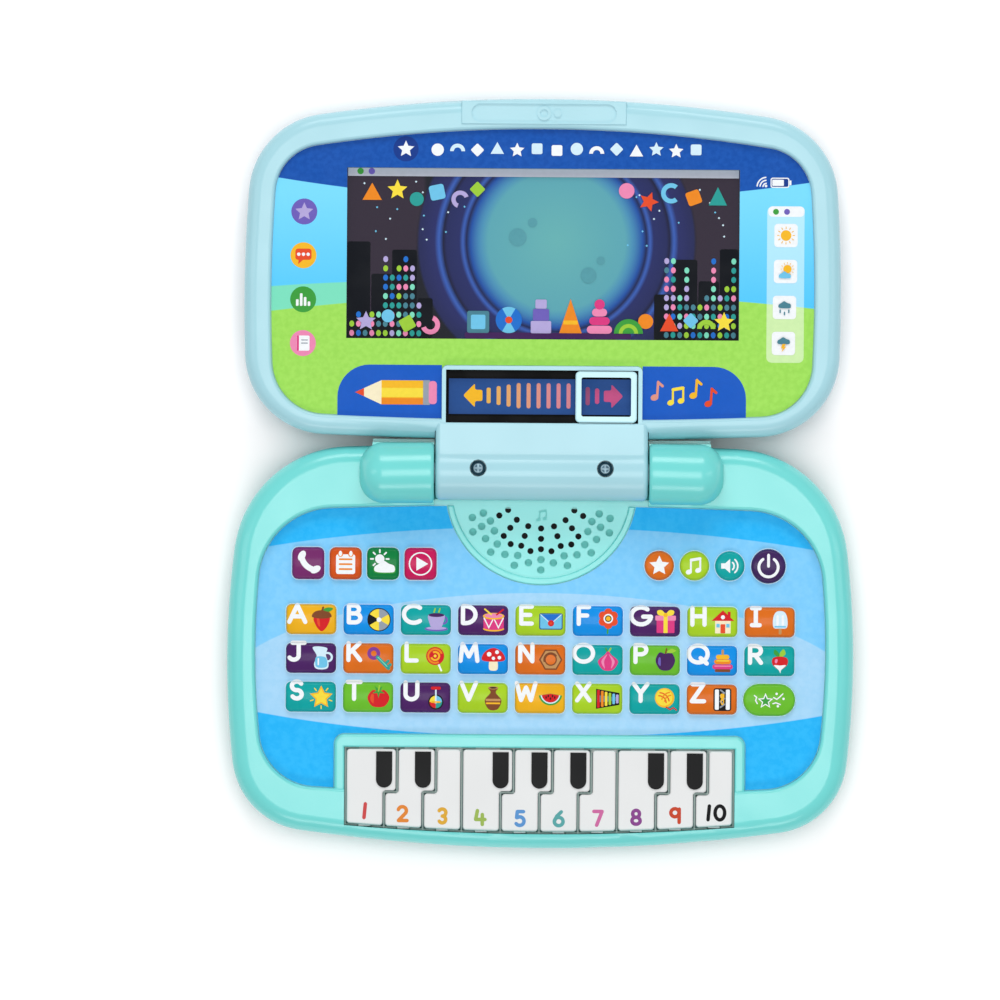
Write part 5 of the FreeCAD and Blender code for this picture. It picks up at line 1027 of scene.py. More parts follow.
SIGN = {
    "button_phone": inked("white", [stroke(0.42, *arc_line(0.66, 0.66, 1.16, 186, 264)),
                                    oval(-0.46, 0.54, 0.4, 0.25, 62), oval(0.54, -0.46, 0.4, 0.25, 28)]),
    "button_calendar": [("white", block(0, -0.06, 1.4, 1.44, 0.16)),
                        *[("orange", stroke(0.13, (-0.44, y), (0.44, y))) for y in (0.3, -0.06, -0.42)],
                        *inked("orange", [oval(x, 0.66, 0.19) for x in (-0.38, 0.38)]),
                        *inked("white", [oval(x, 0.72, 0.12, 0.2) for x in (-0.38, 0.38)])],
    "button_weather": [*inked("white", [oval(-0.24, 0.34, 0.34),
                                        *rays(-0.24, 0.34, 0.48, 0.66, 0.12, range(0, 270, 45))]),
                       ("green", [(1.08 * x, 1.1 * y - 0.02) for x, y in CLOUD]), ("white", CLOUD)],
    "button_play": [("white", oval(0, 0, 0.86), oval(0, 0, 0.76)),
                    ("white", [(-0.3, 0.5), (-0.3, -0.5), (0.56, 0)])],
    "button_round_a": [("white", star(0, -0.02, 0.78, 0.38))],
    "button_round_b": inked("white", TWO_NOTES, size=0.74),
    "button_round_c": inked("white", [[(-0.66, 0.2), (-0.36, 0.2), (0.02, 0.54), (0.02, -0.54),
                                       (-0.36, -0.2), (-0.66, -0.2)],
                                      stroke(0.12, *arc_line(-0.06, 0, 0.38, -45, 45)),
                                      stroke(0.12, *arc_line(-0.06, 0, 0.66, -48, 48))]),
    "button_power": inked("white", [stroke(0.18, *arc_line(0, -0.06, 0.62, 125, 415, 24)),
                                    stroke(0.18, (0, 0.0), (0, 0.72))]),
    "key_oval": [("white", star(-0.3, -0.1, 0.66, 0.3)), ("green", star(-0.3, -0.1, 0.46, 0.2)),
                 *inked("white", [oval(0.6, 0.5, 0.1), oval(1.16, 0.1, 0.1), oval(0.7, -0.5, 0.1),
                                  stroke(0.1, (0.36, 0.2), (0.62, 0.06), (0.84, 0.24), (1.1, 0.5)),
                                  stroke(0.1, (-1.2, 0.36), (-1.02, 0.2), (-1.1, -0.06), (-0.96, -0.3)),
                                  stroke(0.1, (0.3, -0.3), (0.54, -0.22), (0.9, -0.36))])],
}
SIGN_SIZE = {"key_oval": 4.6, "button_power": 5.8, "button_round_a": 4.9, "button_round_b": 4.9,
             "button_round_c": 4.9}
for node, layers in SIGN.items():
    middle = middle_of(node)[0]
    decal("sign_" + node, node, layers, (middle.x, middle.y), SIGN_SIZE.get(node, 5.1), KEY_TOP)
print("signs:", len(SIGN))

# %% [markdown]
# ## Piano keys
# The white keys are gloss mouldings with dark inlays that stand a little proud of the white, so the
# height of a face tells which of the two it is. Each key has its number printed near its front.

# %% Piano
INLAY_LEVEL = 24.62
NUMBER_INK = ("coral", "apricot", "honey", "moss", "steel", "reed", "orchid", "damson", "brick", "black")
inlay = moulded("piano_black", paint(20, 20, 21), 0.35, 0.1)
for number_on_key in range(1, 11):
    polish(f"piano_key_{number_on_key}", finish["piano_white"], inlay,
           pick=lambda spot: int(spot.z > INLAY_LEVEL))
print("numbers:", len(NUMBER_INK))

# %% Numbers
PIANO_TOP, NUMBER_HEIGHT, NUMBER_PEN, NUMBER_WIDEN = 24.6, 6.5, 1.35, 1.02
NUMBER_ACROSS = (-65.0, -50.8, -36.0, -21.9, -7.1, 7.3, 21.9, 36.1, 50.6, 66.0)
NUMBER_LINE, NUMBER_BOW = -128.5, 0.0006


def number_print(value, ink, x):
    form = type_form(str(value), NUMBER_HEIGHT, NUMBER_PEN, NUMBER_WIDEN)
    foot = NUMBER_LINE + NUMBER_BOW * x * x - NUMBER_HEIGHT / 2
    bmesh.ops.translate(form, verts=form.verts, vec=(x, foot, PIANO_TOP + INK_LIFT))
    bmesh.ops.scale(form, verts=form.verts, vec=(MM, MM, MM))
    cut_piece(f"number_{value}", f"piano_key_{value}", form, [inks[ink]])


for n, ink in enumerate(NUMBER_INK):
    number_print(n + 1, ink, NUMBER_ACROSS[n])
print("piano keys:", len(NUMBER_INK))

# %% [markdown]
# ## Webs between the keys
# A pale grey web shows in every gap of the piano, a little below the tops. Each web follows its gap,
# stepping aside where the keys do, and is narrower than the gap, so that the keys pass it freely.

# %% Webs
GAP_FIRST, GAP_PITCH, GAP_STEP, GAP_STEP_LINE, GAP_REAR = -57.86, 14.465, 4.85, -118.9, -102.55
GAP_STEPPED = (True, True, False, True, True, True, False, True, True)
WELL_SIDE, WEB_WIDE, WEB_TOP, WEB_LOW, FRONT_WEB_HALF = 72.25, 0.6, 23.6, 22.6, 4.4


def key_front(x, level=-133.85, bow=900):
    """Line along the gap in front of the keys."""
    return level + bow - math.sqrt(bow * bow - x * x)


webs = [("gap", block(0, GAP_REAR, 2 * WELL_SIDE, WEB_WIDE / 2))]
for side in (-1, 1):
    x = side * WELL_SIDE
    webs.append(("gap", stroke(WEB_WIDE, (x, GAP_REAR), (x, key_front(x)))))
for n, stepped in enumerate(GAP_STEPPED):
    x = GAP_FIRST + GAP_PITCH * n
    bend = [(x + GAP_STEP, GAP_REAR), (x + GAP_STEP, GAP_STEP_LINE), (x, GAP_STEP_LINE)]
    webs.append(("gap", stroke(WEB_WIDE, *(bend if stepped else [(x, GAP_REAR)]), (x, key_front(x)))))
decal("piano_webs", "base", webs, plane=WEB_TOP, lift=0, step=0.004)
front = []
for n in range(11):
    x = GAP_FIRST + GAP_PITCH * (n - 1)
    ends = [max(-WELL_SIDE, x - FRONT_WEB_HALF), min(WELL_SIDE, x + FRONT_WEB_HALF)]
    front.append(("gap", stroke(WEB_WIDE, *[(end, key_front(end)) for end in ends])))
decal("piano_front_webs", "base", front, plane=WEB_LOW, lift=0, step=0.004)
print("webs:", len(webs) + len(front))

# %% [markdown]
# ## Print on the lid
# The face of the lid is one printed sheet: a dark blue top, sky, a mint band and a lime hill. Each
# border is a flat parabola, so y plus a little x squared, compared with a level, tells the side. A
# paler copy of the same print makes the see-through weather panel.

# %% Lid print
def hill(tree, place, middle, level, bend, soft=0.12):
    """One above a flat parabola, nought below it; bend is positive for a hill."""
    axes = axes_of(tree, place)
    away = number(tree, "SUBTRACT", axes["X"], middle * MM)
    raised = number(tree, "MULTIPLY", number(tree, "MULTIPLY", away, away), bend / MM)
    height = number(tree, "ADD", axes["Y"], raised)
    return edge_mask(tree, height, (level - soft) * MM, (level + soft) * MM)


def face_print(name, wash):
    """The lid's sheet; wash says how far each colour is turned to white."""
    def tint(red, green, blue):
        return paint(*(part + (255 - part) * wash for part in (red, green, blue)))

    material, tree, place = surface(name)
    speck = drift(tree, place, 500)
    fade = edge_mask(tree, axes_of(tree, place)["Y"], 62 * MM, 104 * MM)
    lime = blend(tree, speck, tint(156, 219, 88), tint(166, 226, 96))
    sky = blend(tree, fade, tint(84, 200, 250), tint(124, 220, 253))
    navy = blend(tree, speck, tint(20, 80, 168), tint(27, 88, 178))
    colour = blend(tree, hill(tree, place, -41.7, 71.5, 0.00067), tint(126, 224, 190), sky)
    colour = blend(tree, hill(tree, place, 9.0, 67.0, 0.00058), lime, colour)
    colour = blend(tree, hill(tree, place, 2.2, 101.6, -0.000785), colour, navy)
    ink_surface(tree, place, colour, 0.34)
    return material


polish("lid_faceplate", face_print("face_print", 0.0))
inks["panel"] = face_print("panel_print", 0.5)
print("lid print:", len(bpy.data.materials["face_print"].node_tree.nodes), "nodes")

# %% [markdown]
# ## Signs on the lid
# Left of the screen stand four round signs, right of it a column of weather tiles. The heading is a
# round badge and a row of plain white shapes. Below are two blue corner fields, one with a pencil
# and one with music notes.

# %% Heading and left signs
FACE_TOP = 26.0
HEADING_INKS = ("white", "ice")
HEADING_LINE, HEADING_START, HEADING_PITCH, HEADING_COUNT = 120.6, -39.5, 7.4, 14
ROUND_SIGN_SIZE = 4.85
heading = [("navy", oval(-51.3, HEADING_LINE, 4.7)), ("white", star(-51.3, 120.5, 3.2, 1.5))]
for n in range(HEADING_COUNT):
    x, y = HEADING_START + HEADING_PITCH * n, HEADING_LINE + (0.35 if n % 2 else -0.25)
    form = (oval(x, y, 2.3), block(x, y, 4.0, 4.0, 0.6), star(x, y, 2.8, 1.35),
            [(x - 2.5, y - 2.0), (x + 2.5, y - 2.0), (x, y + 2.4)],
            block(x, y, 3.6, 3.6, 0.5, 45), band(x, y - 1.1, 2.8, 1.4, 0, 180))[(n * 5 + n // 6) % 6]
    heading.append((HEADING_INKS[n % 2], form))
decal("heading", "lid", heading, plane=FACE_TOP)

ROUND_SIGN = {
    (-89.0, 97.0): [("violet", oval(0, 0, 1.0)), ("lilac", star(0, -0.02, 0.72, 0.34))],
    (-89.2, 80.7): [("amber", oval(0, 0, 1.0)), ("scarlet", block(0, 0.08, 1.24, 0.86, 0.2)),
                    ("scarlet", [(-0.36, -0.2), (0.04, -0.3), (-0.4, -0.68)]),
                    *[("white", oval(0.36 * n, 0.08, 0.13)) for n in (-1, 0, 1)]],
    (-89.2, 64.3): [("green", oval(0, 0, 1.0)),
                    *[("white", block(-0.45 + 0.3 * n, -0.5 + height / 2, 0.2, height, 0.06))
                      for n, height in enumerate((0.5, 0.96, 0.68, 0.34))]],
    (-89.2, 48.0): [("pink", oval(0, 0, 1.0)), ("white", block(0.02, 0, 0.98, 1.16, 0.1)),
                    ("rose", block(-0.38, 0, 0.16, 1.16, 0.04)),
                    ("grey", stroke(0.08, (-0.1, 0.24), (0.34, 0.24))),
                    ("grey", stroke(0.08, (-0.1, 0.0), (0.34, 0.0)))],
}
for n, (spot, layers) in enumerate(ROUND_SIGN.items()):
    decal(f"round_sign_{n}", "lid", layers, spot, ROUND_SIGN_SIZE, FACE_TOP)
print("round signs:", len(ROUND_SIGN))

# %% Weather column and status signs
SUN = [oval(0, 0, 0.62), *rays(0, 0, 0.8, 1.0, 0.09, range(0, 360, 30))]
TILES = ((90.4, 89.3), (90.3, 75.9), (90.0, 62.5), (89.7, 49.1))
weather = [("panel", block(90.3, 71.0, 13.9, 58.2, 2.0)),
           ("white", block(90.5, 98.2, 13.5, 3.9, 1.6)),
           ("green", oval(86.6, 98.1, 1.1)), ("violet", oval(90.7, 98.1, 1.1))]
weather += [("white", block(x, y, 8.7, 8.7, 1.3)) for x, y in TILES]
(x, y) = TILES[0]
weather += inked("amber", SUN, x, y, 3.2)
(x, y) = TILES[1]
weather += inked("amber", SUN, x + 0.7, y + 0.9, 2.5) + [("sky", moved(CLOUD, x - 0.6, y - 0.6, 3.0))]
(x, y) = TILES[2]
weather += [("slate", moved(CLOUD, x - 0.3, y + 1.7, 3.1))]
weather += [("slate", stroke(0.5, (x - 1.6 + 1.6 * n, y - 1.0 - 0.8 * (n % 2)),
                             (x - 1.6 + 1.6 * n, y - 1.9 - 0.8 * (n % 2)))) for n in range(3)]
(x, y) = TILES[3]
weather += [("slate", moved(CLOUD, x - 0.3, y + 1.7, 3.1)),
            ("amber", [(x - 0.4, y - 0.2), (x + 0.9, y - 0.2), (x + 0.3, y - 1.3), (x + 1.0, y - 1.3),
                       (x - 0.7, y - 3.2), (x - 0.2, y - 1.8), (x - 0.9, y - 1.8)])]
decal("weather_column", "lid", weather, plane=FACE_TOP)

status = inked("white", [stroke(0.5, *arc_line(83.0, 107.4, radius, 95, 175, 8))
                         for radius in (1.3, 2.4, 3.5)])
status += [("white", oval(82.8, 107.7, 0.5)), ("white", block(88.0, 108.9, 7.0, 3.8, 0.8)),
           ("navy", block(88.0, 108.9, 6.2, 3.0, 0.5)), ("white", block(87.3, 108.9, 4.3, 2.3, 0.3)),
           ("white", block(91.9, 108.9, 0.7, 1.8, 0.2))]
decal("status_signs", "lid", status, plane=FACE_TOP)
print("weather tiles:", len(TILES))

# %% Corner fields
FIELD_LOW, FIELD_HIGH, FIELD_ROUND = 20.4, 40.2, 12.0


def corner_field(inner, outer):
    """Field beside the slot, its upper outer corner rounded."""
    side = 1 if outer > inner else -1
    middle = (outer - side * FIELD_ROUND, FIELD_HIGH - FIELD_ROUND)
    arc = [(middle[0] + side * FIELD_ROUND * math.sin(math.radians(9 * n)),
            middle[1] + FIELD_ROUND * math.cos(math.radians(9 * n))) for n in range(11)]
    return [(inner, FIELD_LOW), (inner, FIELD_HIGH), *arc, (outer, FIELD_LOW)]


pencil = [("deep", corner_field(-37.35, -76.2)),
          ("amber", block(-52.0, 29.9, 15.6, 9.0)), ("yellow", block(-52.0, 29.9, 15.6, 3.4)),
          ("orange", block(-52.0, 26.6, 15.6, 2.4)),
          ("cream", [(-59.8, 34.4), (-59.8, 25.4), (-69.6, 29.9)]),
          ("scarlet", [(-66.3, 31.4), (-66.3, 28.4), (-69.6, 29.9)]),
          ("grey", block(-43.0, 29.9, 2.6, 9.2, 0.3)), ("pink", block(-40.7, 29.9, 3.0, 8.6, 1.2))]
decal("pencil_field", "lid", pencil, plane=FACE_TOP)

notes = [("deep", corner_field(37.35, 75.9)), *inked("salmon", NOTE, 42.6, 31.2, 4.1),
         *inked("yellow", TWO_NOTES, 50.2, 29.3, 4.0), *inked("amber", NOTE, 57.0, 32.0, 4.1),
         *inked("scarlet", NOTE, 62.6, 28.9, 4.0)]
decal("notes_field", "lid", notes, plane=FACE_TOP)
print("corner fields: 2")

# %% [markdown]
# ## Repeats by node trees
# Rows and scatters are best grown by a node tree: change one number and the whole row follows. One
# helper builds a tree with named inputs, and another runs it once and keeps the mesh it makes.

# %% Tree helpers
def new_tree(name, **inputs):
    """Empty tree with a geometry output and named inputs, and the sockets of both."""
    tree = bpy.data.node_groups.new(name, "GeometryNodeTree")
    tree.interface.new_socket("Geometry", in_out="OUTPUT", socket_type="NodeSocketGeometry")
    for label, value in inputs.items():
        kind = "NodeSocketInt" if isinstance(value, int) else "NodeSocketFloat"
        tree.interface.new_socket(label, in_out="INPUT", socket_type=kind).default_value = value
    return tree, add(tree, "NodeGroupInput").outputs, add(tree, "NodeGroupOutput").inputs


def grown(name, tree, place, **values):
    """Run a tree with its inputs set, and keep the result as a plain mesh."""
    item = new_piece(name, bpy.data.meshes.new(name))
    grow = item.modifiers.new("grow", "NODES")
    grow.node_group = tree
    for socket in tree.interface.items_tree:
        if socket.in_out == "INPUT" and socket.name in values:
            grow[socket.identifier] = values[socket.name]
    item.update_tag()
    mesh = bpy.data.meshes.new_from_object(
        item.evaluated_get(bpy.context.evaluated_depsgraph_get()))
    item.modifiers.clear()
    mesh.name = name
    mesh.transform(Matrix.Translation(Vector(place) * MM))
    for spare in [a.name for a in mesh.attributes if a.name == "tone"]:
        mesh.attributes.remove(mesh.attributes[spare])
    item.data = mesh
    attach(item, "lid")
    return item


def finish_tree(tree, geometry, output, materials):
    """Realise the instances and share the materials out by their tone."""
    result = add(tree, "GeometryNodeRealizeInstances", {"Geometry": geometry}).outputs["Geometry"]
    for n, material in enumerate(materials):
        dress = add(tree, "GeometryNodeSetMaterial", {"Geometry": result, "Material": material})
        if n:
            read = add(tree, "GeometryNodeInputNamedAttribute", {"Name": "tone"}).outputs["Attribute"]
            over = number(tree, "GREATER_THAN", read, n / len(materials))
            put(tree, dress.inputs["Selection"], over)
        result = dress.outputs["Geometry"]
    put(tree, output["Geometry"], result)


# %% Window lights and stars
def random_value(tree, low, high, seed):
    pick = add(tree, "FunctionNodeRandomValue", {"Seed": seed}, data_type="FLOAT")
    floats = [s for s in pick.inputs if s.type == "VALUE"]
    floats[0].default_value, floats[1].default_value = low, high
    return pick, next(s for s in pick.outputs if s.type == "VALUE" and s.enabled)


def toned(tree, geometry, seed):
    """Give each point a random tone that survives realising."""
    store = add(tree, "GeometryNodeStoreNamedAttribute", {"Geometry": geometry, "Name": "tone"},
                data_type="FLOAT")
    value = next(s for s in store.inputs if s.name == "Value" and s.type == "VALUE")
    put(tree, value, random_value(tree, 0.0, 1.0, seed)[1])
    return store.outputs["Geometry"]


COLUMNS_PER_METRE = 400.0


def window_lights(materials):
    tree, given, output = new_tree("window_lights", Columns=8, Rows=10, Width=0.02, Height=0.03,
                                   Dot=0.001, Seed=1)
    grid = add(tree, "GeometryNodeMeshGrid", {
        "Size X": given["Width"], "Size Y": given["Height"],
        "Vertices X": given["Columns"], "Vertices Y": given["Rows"]})
    axes = axes_of(tree, add(tree, "GeometryNodeInputPosition").outputs["Position"])
    column = number(tree, "ROUND", number(tree, "MULTIPLY", axes["X"], COLUMNS_PER_METRE))
    pick, level = random_value(tree, -0.35, 0.5, given["Seed"])
    put(tree, pick.inputs["ID"], column)
    rise = number(tree, "DIVIDE", axes["Y"], given["Height"])
    trim = add(tree, "GeometryNodeDeleteGeometry", {
        "Geometry": grid.outputs["Mesh"], "Selection": number(tree, "GREATER_THAN", rise, level)})
    dot = add(tree, "GeometryNodeMeshCircle", {"Vertices": 12, "Radius": given["Dot"]}, fill_type="NGON")
    spots = add(tree, "GeometryNodeInstanceOnPoints", {
        "Points": toned(tree, trim.outputs["Geometry"], given["Seed"]),
        "Instance": dot.outputs["Mesh"], "Scale": (1.0, 1.25, 1.0)})
    finish_tree(tree, spots.outputs["Instances"], output, materials)
    return tree


WINDOW_TOP = 23.5
light_inks = [inks[name] for name in ("teal", "slate", "mint", "lilac", "lime", "blue", "pink")]
lights = window_lights(light_inks)
for name, x, seed in (("lights_left", -58.6, 3), ("lights_right", 58.6, 8)):
    grown(name, lights, (x, 67.5, WINDOW_TOP + 0.12), Columns=11, Rows=10,
          Width=25.0 * MM, Height=31.0 * MM, Dot=0.92 * MM, Seed=seed)


def star_dust(materials):
    tree, given, output = new_tree("star_dust", Width=0.1, Height=0.02, Density=10000.0, Size=0.0005,
                                   Seed=1)
    field = add(tree, "GeometryNodeMeshGrid", {"Size X": given["Width"], "Size Y": given["Height"]})
    scatter = add(tree, "GeometryNodeDistributePointsOnFaces", {
        "Mesh": field.outputs["Mesh"], "Density": given["Density"], "Seed": given["Seed"]})
    spark = add(tree, "GeometryNodeMeshCircle", {"Vertices": 4, "Radius": given["Size"]}, fill_type="NGON")
    spots = add(tree, "GeometryNodeInstanceOnPoints", {
        "Points": toned(tree, scatter.outputs["Points"], given["Seed"]),
        "Instance": spark.outputs["Mesh"]})
    finish_tree(tree, spots.outputs["Instances"], output, materials)
    return tree


dust = star_dust([inks["sky"], inks["ice"]])
for name, x, seed in (("stars_left", -48.0, 5), ("stars_right", 50.0, 6)):
    grown(name, dust, (x, 97.0, WINDOW_TOP + 0.02), Width=40 * MM, Height=24 * MM,
          Density=16000.0, Size=0.42 * MM, Seed=seed)

# %% [markdown]
# ## Picture behind the window
# The window shows a night town under a huge teal moon with halo rings. Moon and halo depend only on
# the distance from one point, so a colour ramp over that distance paints them. The clear window
# lies over the print, so the print is given the window's own smooth gloss.

# %% Screen print
MOON, HALO_REACH, HALO_EDGE = (5.0, 86.5), 64, (0.80, 0.82)
GLOW_ACROSS, GLOW_LINE, GLOW_HALF, GLOW_SOFT = (-70, 72), 104, (26, 46), 0.03
MOON_RAMP = (
    (0.0, (100, 174, 174)), (0.40, (88, 162, 174)), (0.44, (72, 142, 178)), (0.50, (26, 78, 160)),
    (0.525, (16, 24, 66)), (0.545, (54, 92, 176)), (0.565, (32, 40, 96)), (0.64, (28, 36, 88)),
    (0.66, (14, 18, 52)), (0.685, (54, 92, 176)), (0.71, (34, 40, 98)), (0.80, (28, 34, 82)),
    (0.815, (16, 20, 32)), (1.0, (14, 18, 28)),
)


def screen_print():
    material, tree, place = surface("screen_print")
    reach = reach_from(tree, place, MOON, (HALO_REACH, HALO_REACH))
    ramp = add(tree, "ShaderNodeValToRGB", {"Fac": reach})
    stops = ramp.color_ramp.elements
    for n, (position, colour) in enumerate(MOON_RAMP):
        stop = stops[n] if n < 2 else stops.new(position)
        stop.position = position
        stop.color = paint(*colour)
    colour = ramp.outputs["Color"]
    for x in GLOW_ACROSS:
        glow = ellipse_mask(tree, place, (x, GLOW_LINE), GLOW_HALF, GLOW_SOFT)
        over = number(tree, "MULTIPLY", glow, edge_mask(tree, reach, *HALO_EDGE))
        colour = blend(tree, over, colour, paint(46, 36, 52))
    shade(tree, {"Specular IOR Level": 0.05, "Base Color": colour,
                 "Roughness": drift(tree, place, 60, 0.06, 0.12),
                 "Normal": grain(tree, place, *WINDOW_GRAIN)})
    return material


polish("screen_window", screen_print())

# %% Town, shapes and toys
town = []
for x, width, height in ((-68.6, 8.6, 36), (-60.2, 7.4, 24), (-51.6, 9.2, 33), (-43.8, 5.6, 15),
                         (44.8, 6.6, 17), (53.0, 9.0, 30), (61.8, 7.6, 22), (69.4, 7.0, 34)):
    town.append(("night", block(x, 50.1 + height / 2, width, height, 0.8)))
for x, y, reach in ((-14.5, 1.5, 3.4), (-9.0, 7.0, 1.8), (12.0, -12.5, 3.0), (16.5, -7.0, 1.6)):
    town.append(("crater", oval(MOON[0] + x, MOON[1] + y, reach)))
decal("town", "lid", town, plane=WINDOW_TOP, lift=0.03)

SHAPES = (
    ("orange", [(-67.4, 101.6), (-60.2, 101.6), (-63.8, 108.0)]), ("yellow", star(-54.4, 105.4, 3.9, 1.8)),
    ("teal", oval(-47.2, 102.0, 2.6)), ("sky", block(-39.6, 104.6, 5.6, 5.6, 1.0, 12)),
    ("lilac", band(-31.0, 102.0, 3.3, 1.7, 20, 250)), ("lime", block(-24.6, 105.8, 4.2, 4.2, 0.5, 45)),
    ("pink", oval(31.0, 105.6, 2.9)), ("scarlet", star(39.2, 101.6, 3.8, 1.8, 5, 70)),
    ("sky", band(47.6, 104.8, 3.8, 2.1, 50, 310)), ("orange", block(56.0, 103.2, 5.2, 5.2, 0.8, 20)),
    ("teal", [(61.6, 100.4), (68.4, 100.4), (65.0, 107.2)]),
    ("lilac", star(-65.8, 56.4, 3.8, 1.8)), ("sky", oval(-57.6, 58.4, 2.4)),
    ("lime", block(-50.4, 55.6, 5.0, 5.0, 0.6, 30)), ("pink", band(-41.8, 55.2, 3.6, 1.8, 200, 430)),
    ("orange", oval(38.4, 57.0, 2.8)), ("scarlet", [(43.8, 53.4), (50.6, 53.4), (47.2, 60.0)]),
    ("sky", block(55.2, 57.4, 4.2, 4.2, 0.6, 45)), ("lime", band(61.0, 54.4, 3.4, 1.7, 0, 180)),
    ("yellow", star(67.6, 56.8, 3.9, 1.8)),
)
decal("paper_shapes", "lid", SHAPES, plane=WINDOW_TOP, lift=0.2, step=0.004)

toys = [("plum", block(2.0, 51.4, 62, 2.2, 0.8)),
        ("slate", block(-24.0, 56.4, 8.2, 8.2, 0.8)), ("sky", block(-24.0, 56.4, 5.4, 5.4, 0.6)),
        ("blue", oval(-12.6, 57.2, 4.9)), ("sky", band(-12.6, 57.2, 4.9, 0, 60, 120)),
        ("sky", band(-12.6, 57.2, 4.9, 0, 240, 300)), ("scarlet", oval(-12.6, 57.2, 1.3)),
        ("lilac", block(-0.6, 54.6, 7.6, 4.6, 0.5)), ("violet", block(-0.6, 59.2, 6.0, 4.4, 0.5)),
        ("lilac", block(-0.6, 63.2, 4.2, 3.4, 0.5)),
        ("orange", [(6.2, 52.4), (14.6, 52.4), (10.4, 65.2)]), ("amber", block(10.4, 56.4, 5.4, 1.5, 0.2)),
        ("pink", block(21.2, 53.8, 9.4, 3.0, 1.5)), ("rose", block(21.2, 57.0, 7.6, 3.0, 1.5)),
        ("pink", block(21.2, 60.2, 5.6, 3.0, 1.5)), ("rose", oval(21.2, 63.2, 1.9)),
        ("green", band(32.0, 52.4, 5.4, 0, 0, 180)), ("lime", band(32.0, 52.4, 3.6, 2.2, 0, 180))]
decal("toy_row", "lid", toys, plane=WINDOW_TOP, lift=0.2)

status_band = [("band", block(0, 112.0, 145.6, 3.0)), ("green", oval(-68.2, 112.3, 1.2)),
               ("violet", oval(-64.0, 112.3, 1.2))]
decal("status_band", "lid", status_band, plane=WINDOW_TOP, lift=0.3)
print("screen shapes:", len(SHAPES))

# %% [markdown]
# ## Swipe strip
# Under the slider lies a blue strip with an arrow at each end. Between them runs a row of bars that
# grow from left to right and turn from amber to pink. The row is a node tree: its bars are
# instances along a line, scaled by their place in the row.

# %% Strip
TRACK_TOP, STRIP_LINE, SLOT_SHADE_TOP = 25.0, 29.0, 19.0


def bar_ink():
    material, tree, place = surface("ink_bars")
    along = edge_mask(tree, axes_of(tree, place)["X"], -20 * MM, 4 * MM)
    ink_surface(tree, place, blend(tree, along, paint(232, 178, 84), paint(214, 132, 142)), 0.32)
    return material


GROWING_BARS, ROUND_SHARE = 3.0, 0.48


def bar_row(material):
    tree, given, output = new_tree("bar_row", Count=9, Pitch=0.0038, Width=0.0015, Low=0.6, High=1.0,
                                   Tall=0.0095)
    way = add(tree, "ShaderNodeCombineXYZ", {"X": given["Pitch"]}).outputs["Vector"]
    row = add(tree, "GeometryNodeMeshLine", {"Count": given["Count"], "Offset": way})
    sides = add(tree, "GeometryNodeCurvePrimitiveQuadrilateral", {
        "Width": given["Width"], "Height": given["Tall"]})
    ends = add(tree, "GeometryNodeFilletCurve", {
        "Curve": sides.outputs["Curve"], "Count": 5,
        "Radius": number(tree, "MULTIPLY", given["Width"], ROUND_SHARE)}, mode="POLY")
    bar = add(tree, "GeometryNodeFillCurve", {"Curve": ends.outputs["Curve"]}, mode="NGONS")
    grow = add(tree, "ShaderNodeMapRange", {
        "Value": add(tree, "GeometryNodeInputIndex").outputs["Index"], "From Max": GROWING_BARS,
        "To Min": given["Low"], "To Max": given["High"]})
    scale = add(tree, "ShaderNodeCombineXYZ", {"X": 1.0, "Y": grow.outputs["Result"], "Z": 1.0})
    spots = add(tree, "GeometryNodeInstanceOnPoints", {
        "Points": row.outputs["Mesh"], "Instance": bar.outputs["Mesh"], "Scale": scale.outputs["Vector"]})
    finish_tree(tree, spots.outputs["Instances"], output, [material])
    return tree


grown("swipe_bars", bar_row(bar_ink()), (-19.9, STRIP_LINE, TRACK_TOP + 0.05),
      Count=9, Pitch=3.72 * MM, Width=1.5 * MM, Tall=9.4 * MM, Low=0.62, High=1.0)


def arrow(x, side, ink):
    head = [(x, STRIP_LINE), (x - 4.4 * side, STRIP_LINE + 4.5), (x - 4.4 * side, STRIP_LINE + 2.1),
            (x - 7.2 * side, STRIP_LINE + 2.1), (x - 7.2 * side, STRIP_LINE - 2.1),
            (x - 4.4 * side, STRIP_LINE - 2.1), (x - 4.4 * side, STRIP_LINE - 4.5)]
    return ink, eased(head, 0.8)


strip = [("strip", block(0, 28.65, 69.4, 13.2)), arrow(-29.4, -1, "amber"), arrow(30.2, 1, "berry"),
         ("mauve", block(17.0, STRIP_LINE, 1.6, 6.8, 0.75)),
         ("berry", block(20.5, STRIP_LINE, 1.6, 5.8, 0.75))]
decal("swipe_strip", "lid", strip, plane=TRACK_TOP)
# Painted shade: a black sheet under the slot darkens what shows round the strip.
slot_shade_sheet = [("painted_shade_black", block(0, 28.5, 74.0, 23.0), block(0, 28.65, 69.9, 13.6))]
decal("slot_painted_shade", "lid", slot_shade_sheet, plane=SLOT_SHADE_TOP)
print("strip done")

# %% [markdown]
# ## Small hardware
# The screws are metal, so their colour comes from what they mirror. The hinge screws are blackened
# steel that sits deep in its holes; a darker ring painted round each head stands for the shade in the
# hole, and painted glints brighten the cross and the rim of each head. A small raised music note
# marks the grille, painted a shade darker so that it shows, and a black sheet behind its holes paints the
# shade inside.

# %% Metal, board and note
def metal(name, colour, gloss):
    material, tree, place = surface(name)
    shade(tree, {"Metallic": 1.0, "Base Color": uneven(tree, place, 260, colour, 0.8),
                 "Roughness": drift(tree, place, 500, gloss - 0.06, gloss + 0.08),
                 "Normal": grain(tree, place, *METAL_GRAIN)})
    return material


steel = metal("bright_steel", paint(214, 218, 224), 0.28)
HINGE_SCREW, HEAD, RING = (23.6, 1.9), 1.7, 3.6
CROSS_HALF, GLINT_RING = 0.3, 1.45


